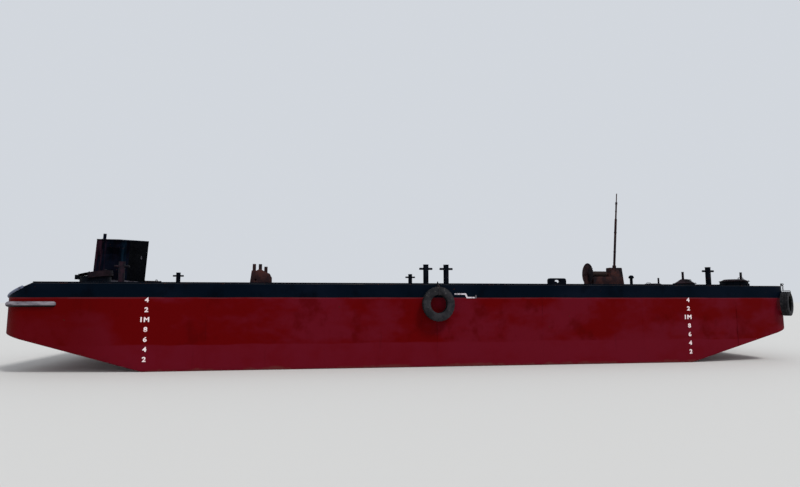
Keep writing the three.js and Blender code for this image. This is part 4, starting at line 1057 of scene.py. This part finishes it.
# Pole: a steel pole of three tubes, one in the other, with clamp rings, for the anchor light. It stands in a socket
# welded on the gear case, and leans aft.
MAST_LEAN = radians(4.7)
mast_place = moved(WINCH + Vector((0.734, 0, 0.47))) @ turned_by(MAST_LEAN, "Y")
mast = bmesh.new()
turned(mast, [(0.0, 0.0045), (0.0448, 0.0045), (0.0455, 0.008), (0.0448, 0.058), (0.0425, 0.0598), (0.029, 0.06),
    (0.0287, 0.066), (0.0287, 1.235), (0.029, 1.25), (0.0275, 1.259), (0.0202, 1.266), (0.0198, 1.275),
    (0.0195, 1.638), (0.0262, 1.642), (0.0268, 1.65), (0.0268, 1.692), (0.0258, 1.6985), (0.013, 1.7),
    (0.0127, 1.706), (0.0125, 1.92), (0.011, 1.9285), (0.0, 1.9293)], steps=28)
for height, size in ((0.4, 0.0315), (0.9, 0.0315), (1.45, 0.0225)):
    turned(mast, [(0.015, height), (size, height), (size + 0.0015, height + 0.003), (size + 0.0015, height + 0.022),
        (size, height + 0.025), (0.015, height + 0.025)], steps=24)
fit(mast, "anchor_light_pole", rusty_steel, "pole_mast", place=mast_place)


# Engine house: 8 mm sheet folded to a box and welded, under a roof that falls outboard, with angle bar up its
# corners, on two skids. The sheet is black over red lead, with rust running down. One door opens outboard.
WIDE, DEEP, FRONT, BACK = 0.763, 1.29, 1.046, 1.186
HOUSE_LEAN = radians(3.0)
house_place = (moved((MIDSHIPS - 7.2495, -0.4, DECK + 0.0463)) @ turned_by(HOUSE_LEAN, "Y") @ moved((-WIDE, 0, 0)))
house_paint = Finish("house_paint", (2, 4, 9), roughness=0.65, gloss=0.004, slot="black_paint")
house_cloud = house_paint.grain(2.4, 6)
house_runs = house_paint.grain(7, 6, (1.8, 1.8, 0.16), (3, 7, 2))
house_crust = house_paint.grain(18, 8, (1, 1, 1), (8, 1, 3), 0.7)
house_x = house_paint.along("X")
house_paint.lay((8, 14, 26), house_cloud, 0.42, 0.64)
toward_bow = house_paint.span(house_x, -7.84, -7.74, 1, 0)
house_paint.lay((44, 24, 34), house_paint.maths("MULTIPLY", house_paint.span(house_runs, 0.42, 0.58),
    house_paint.maths("ADD", house_paint.maths("MULTIPLY", toward_bow, 0.85), 0.05)))
pale_run = house_paint.maths("MULTIPLY", house_paint.span(house_x, -7.44, -7.39),
    house_paint.span(house_x, -7.33, -7.29, 1, 0))
house_paint.lay((16, 36, 50), house_paint.maths(
    "MULTIPLY", pale_run, house_paint.span(house_runs, 0.36, 0.6, 0.1, 0.75)))
house_paint.lay((74, 42, 34), house_crust, 0.63, 0.7, 0, 0.6)
# Painted shade: the after wall is darkened almost to black.
after_wall_shade = house_paint.maths("MULTIPLY", house_paint.span(house_x, -7.31, -7.29),
    house_paint.span(house_paint.along("Y"), -0.395, -0.375))
house_paint.lay((1, 2, 5), house_paint.maths("MULTIPLY", after_wall_shade, 0.9))
house_paint.roughness(house_crust, 0.4, 0.7, 0.55, 0.85)
house_paint.relief(house_crust, 0.0015)


def roof_height(y):
    return FRONT + (BACK - FRONT) * y / DEEP


walls = bmesh.new()
block(walls, (0, 0, 0), (WIDE, DEEP, FRONT))
for v in walls.verts:
    if v.co.z > 0.5 and v.co.y > 0.5:
        v.co.z = BACK
front_face = [f for f in walls.faces if f.calc_center_median().y < 0.001][0]
bmesh.ops.inset_region(walls, faces=[front_face], thickness=0.1, use_even_offset=True)
for v in front_face.verts:
    v.co = Vector((0.142 if v.co.x < WIDE / 2 else 0.628, 0, 0.112 if v.co.z < 0.5 else 0.928))
bmesh.ops.delete(walls, geom=[front_face], context="FACES_ONLY")
bmesh.ops.recalc_face_normals(walls, faces=walls.faces)
if [f for f in walls.faces if f.calc_center_median().z < 0.001][0].normal.z > 0:
    bmesh.ops.reverse_faces(walls, faces=walls.faces)
bmesh.ops.solidify(walls, geom=walls.faces[:], thickness=0.0078)
ANGLE_LEG = 0.034
ANGLE_PLATE = 0.003
for x, out_x in ((0.0, -1), (WIDE, 1)):
    for y, out_y in ((0.0, -1), (DEEP, 1)):
        for inset_x, inset_y in ((ANGLE_LEG, -0.0002), (-0.0002, ANGLE_LEG)):
            x0, x1 = sorted((x - out_x * inset_x, x + out_x * ANGLE_PLATE))
            y0, y1 = sorted((y - out_y * inset_y, y + out_y * ANGLE_PLATE))
            block(walls, (x0, y0, 0.004), (x1, y1, roof_height(y) - 0.012), edge=0.001, segments=1)
fall = moved((0, 0, FRONT)) @ turned_by(atan((BACK - FRONT) / DEEP), "X")
block(walls, (-0.006, -0.018, -0.01), (WIDE + 0.006, DEEP / cos(atan((BACK - FRONT) / DEEP)) + 0.006, 0.0015),
    edge=0.002, place=fall)
for row in range(5):
    block(walls, (WIDE - 0.0005, 0.22, 0.8 + row * 0.03), (WIDE + 0.0035, 0.68, 0.812 + row * 0.03), edge=0.001,
        segments=1)
HINGE_X = 0.116
HINGE_Y = -0.015
for z in (0.23, 0.74):
    turned(walls, [(0.0, -0.08), (0.0068, -0.08), (0.0068, 0.039), (0.005, 0.0398), (0.0, 0.0398)],
        (HINGE_X, HINGE_Y, z), steps=16)
    block(walls, (HINGE_X - 0.0118, HINGE_Y - 0.0078, z - 0.0798), (HINGE_X + 0.0118, 0.0, z - 0.0405), edge=0.002)
turned(walls, [(0.0, 1.062), (0.05, 1.062), (0.05, 1.0755), (0.04, 1.079), (0.0362, 1.083), (0.0358, 1.09),
    (0.0358, 1.202), (0.0345, 1.2048), (0.0315, 1.2048), (0.0308, 1.202), (0.0308, 1.11), (0.0, 1.108)],
    (0.086, 0.2, 0), steps=32)
fit(walls, "engine_house_walls", house_paint, "engine_house", place=house_place)


# Door: a flat sheet with a frame of flat bar behind it, a row of slats, two strap hinges and a bent bar handle.
# It has the same paint as the house.
door = bmesh.new()
block(door, (0.1342, -0.0248, 0.0903), (0.6498, -0.0192, 0.9497), edge=0.0015)
for x0, x1, z0, z1 in ((0.1342, 0.1542, 0.0903, 0.9497), (0.6298, 0.6498, 0.0903, 0.9497),
        (0.1342, 0.6498, 0.0903, 0.1103), (0.1342, 0.6498, 0.9297, 0.9497), (0.1542, 0.6298, 0.515, 0.535)):
    block(door, (x0, -0.02, z0), (x1, -0.0056, z1), edge=0.001, segments=1)
for row in range(6):
    z = 0.72 + row * 0.028
    slat = moved((0.392, -0.0262, z)) @ turned_by(radians(28), "X")
    block(door, (-0.14, -0.0075, -0.002), (0.14, 0.0075, 0.002), edge=0.0008, segments=1, place=slat)
for z in (0.23, 0.74):
    turned(door, [(0.0076, -0.0395), (0.0132, -0.0395), (0.0139, -0.0385), (0.0139, 0.0385), (0.0132, 0.0395),
        (0.0076, 0.0395), (0.0076, -0.0395)], (HINGE_X, HINGE_Y, z), steps=20)
    block(door, (HINGE_X + 0.01, -0.0258, z - 0.0395), (0.25, -0.024, z + 0.0395), edge=0.0006, segments=1)
    for x in (0.165, 0.2, 0.235):
        stud = moved((x, -0.0262, z)) @ turned_by(pi / 2, "X")
        bmesh.ops.create_uvsphere(door, u_segments=10, v_segments=6, radius=0.0055,
            matrix=stud @ Matrix.Diagonal((1, 1, 0.5, 1)))
drawn_bar(door, 0.0075, [(0.588, -0.024, 0.528), (0.588, -0.05, 0.528), (0.588, -0.0565, 0.5225),
    (0.588, -0.057, 0.512), (0.588, -0.057, 0.452), (0.588, -0.054, 0.4475)], sides=12)
block(door, (0.57, -0.0275, 0.49), (0.607, -0.024, 0.56), edge=0.001, segments=1)
fit(door, "engine_house_door_panel", house_paint, "engine_house_door", body="engine_house_door", place=house_place)


# Foot angle: a galvanised angle bar round the foot of the house, outboard and aft. Only its upright leg shows.
# A capped cooling-water outlet sits on the after wall above it.
foot_zinc = Finish("foot_zinc", (92, 90, 98), roughness=0.75, gloss=0.08, slot="grey_paint")
foot_cloud = foot_zinc.grain(9, 6, (0.5, 0.5, 2))
foot_zinc.lay((56, 50, 58), foot_cloud, 0.42, 0.62)
foot_zinc.roughness(foot_cloud, 0.4, 0.65, 0.55, 0.85)
foot_zinc.relief(foot_cloud, 0.0015)
sill = bmesh.new()
block(sill, (0.25, -0.0045, 0.004), (WIDE + 0.0045, -0.0003, 0.08), edge=0.001)
block(sill, (WIDE + 0.0003, -0.0045, 0.004), (WIDE + 0.0045, DEEP - 0.04, 0.08), edge=0.001)
turned(sill, [(0.0, 0.0003), (0.048, 0.0003), (0.048, 0.004), (0.034, 0.0048), (0.032, 0.006), (0.0, 0.0066)],
    (WIDE, 0.86, 0.7), steps=28, axis="X")
fit(sill, "engine_house_foot_angle", foot_zinc, place=house_place)


# Engine: a plain casing for the mass of a small diesel, with a bed plate, a block, four caps on top
# and cooling ribs, all in rusty steel. It stands on the floor of the house.
engine = bmesh.new()
block(engine, (0.191, 0.386, 0.0085), (0.549, 1.024, 0.06), edge=0.004)
block(engine, (0.21, 0.42, 0.06), (0.53, 0.99, 0.3), edge=0.02, segments=3)
block(engine, (0.235, 0.5, 0.3), (0.505, 0.91, 0.42), edge=0.02, segments=3)
for i in range(4):
    turned(engine, [(0.0, 0.415), (0.034, 0.417), (0.036, 0.43), (0.03, 0.455), (0.0, 0.4675)],
        (0.37, 0.555 + i * 0.1, 0), steps=24)
for i in range(7):
    z = 0.09 + i * 0.028
    block(engine, (0.2, 0.405, z), (0.54, 1.005, z + 0.007), edge=0.002, segments=1)
fit(engine, "engine_casing", rusty_steel, "engine_block", place=house_place)


# Skids: two bearers across the foot of the house, one higher than the other, their tops cut to the house's lean.
# The house is fixed on them, and they lie on the deck.
for node in ("house_skid_fore", "house_skid_aft"):
    low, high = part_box(node)
    skid = bmesh.new()
    bmesh.ops.create_cube(skid, size=1.0)
    for v in skid.verts:
        fore = v.co.x < 0
        top = high.z if fore else high.z - (high.x - low.x) * tan(HOUSE_LEAN)
        v.co = Vector((low.x if fore else high.x, low.y + 0.001 if v.co.y < 0 else high.y - 0.001,
            low.z if v.co.z < 0 else top - 0.0003))
    rounded(skid, skid.edges[:], 0.004, 2)
    fit(skid, f"timber_{node}", rusty_steel, node)

low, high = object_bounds()
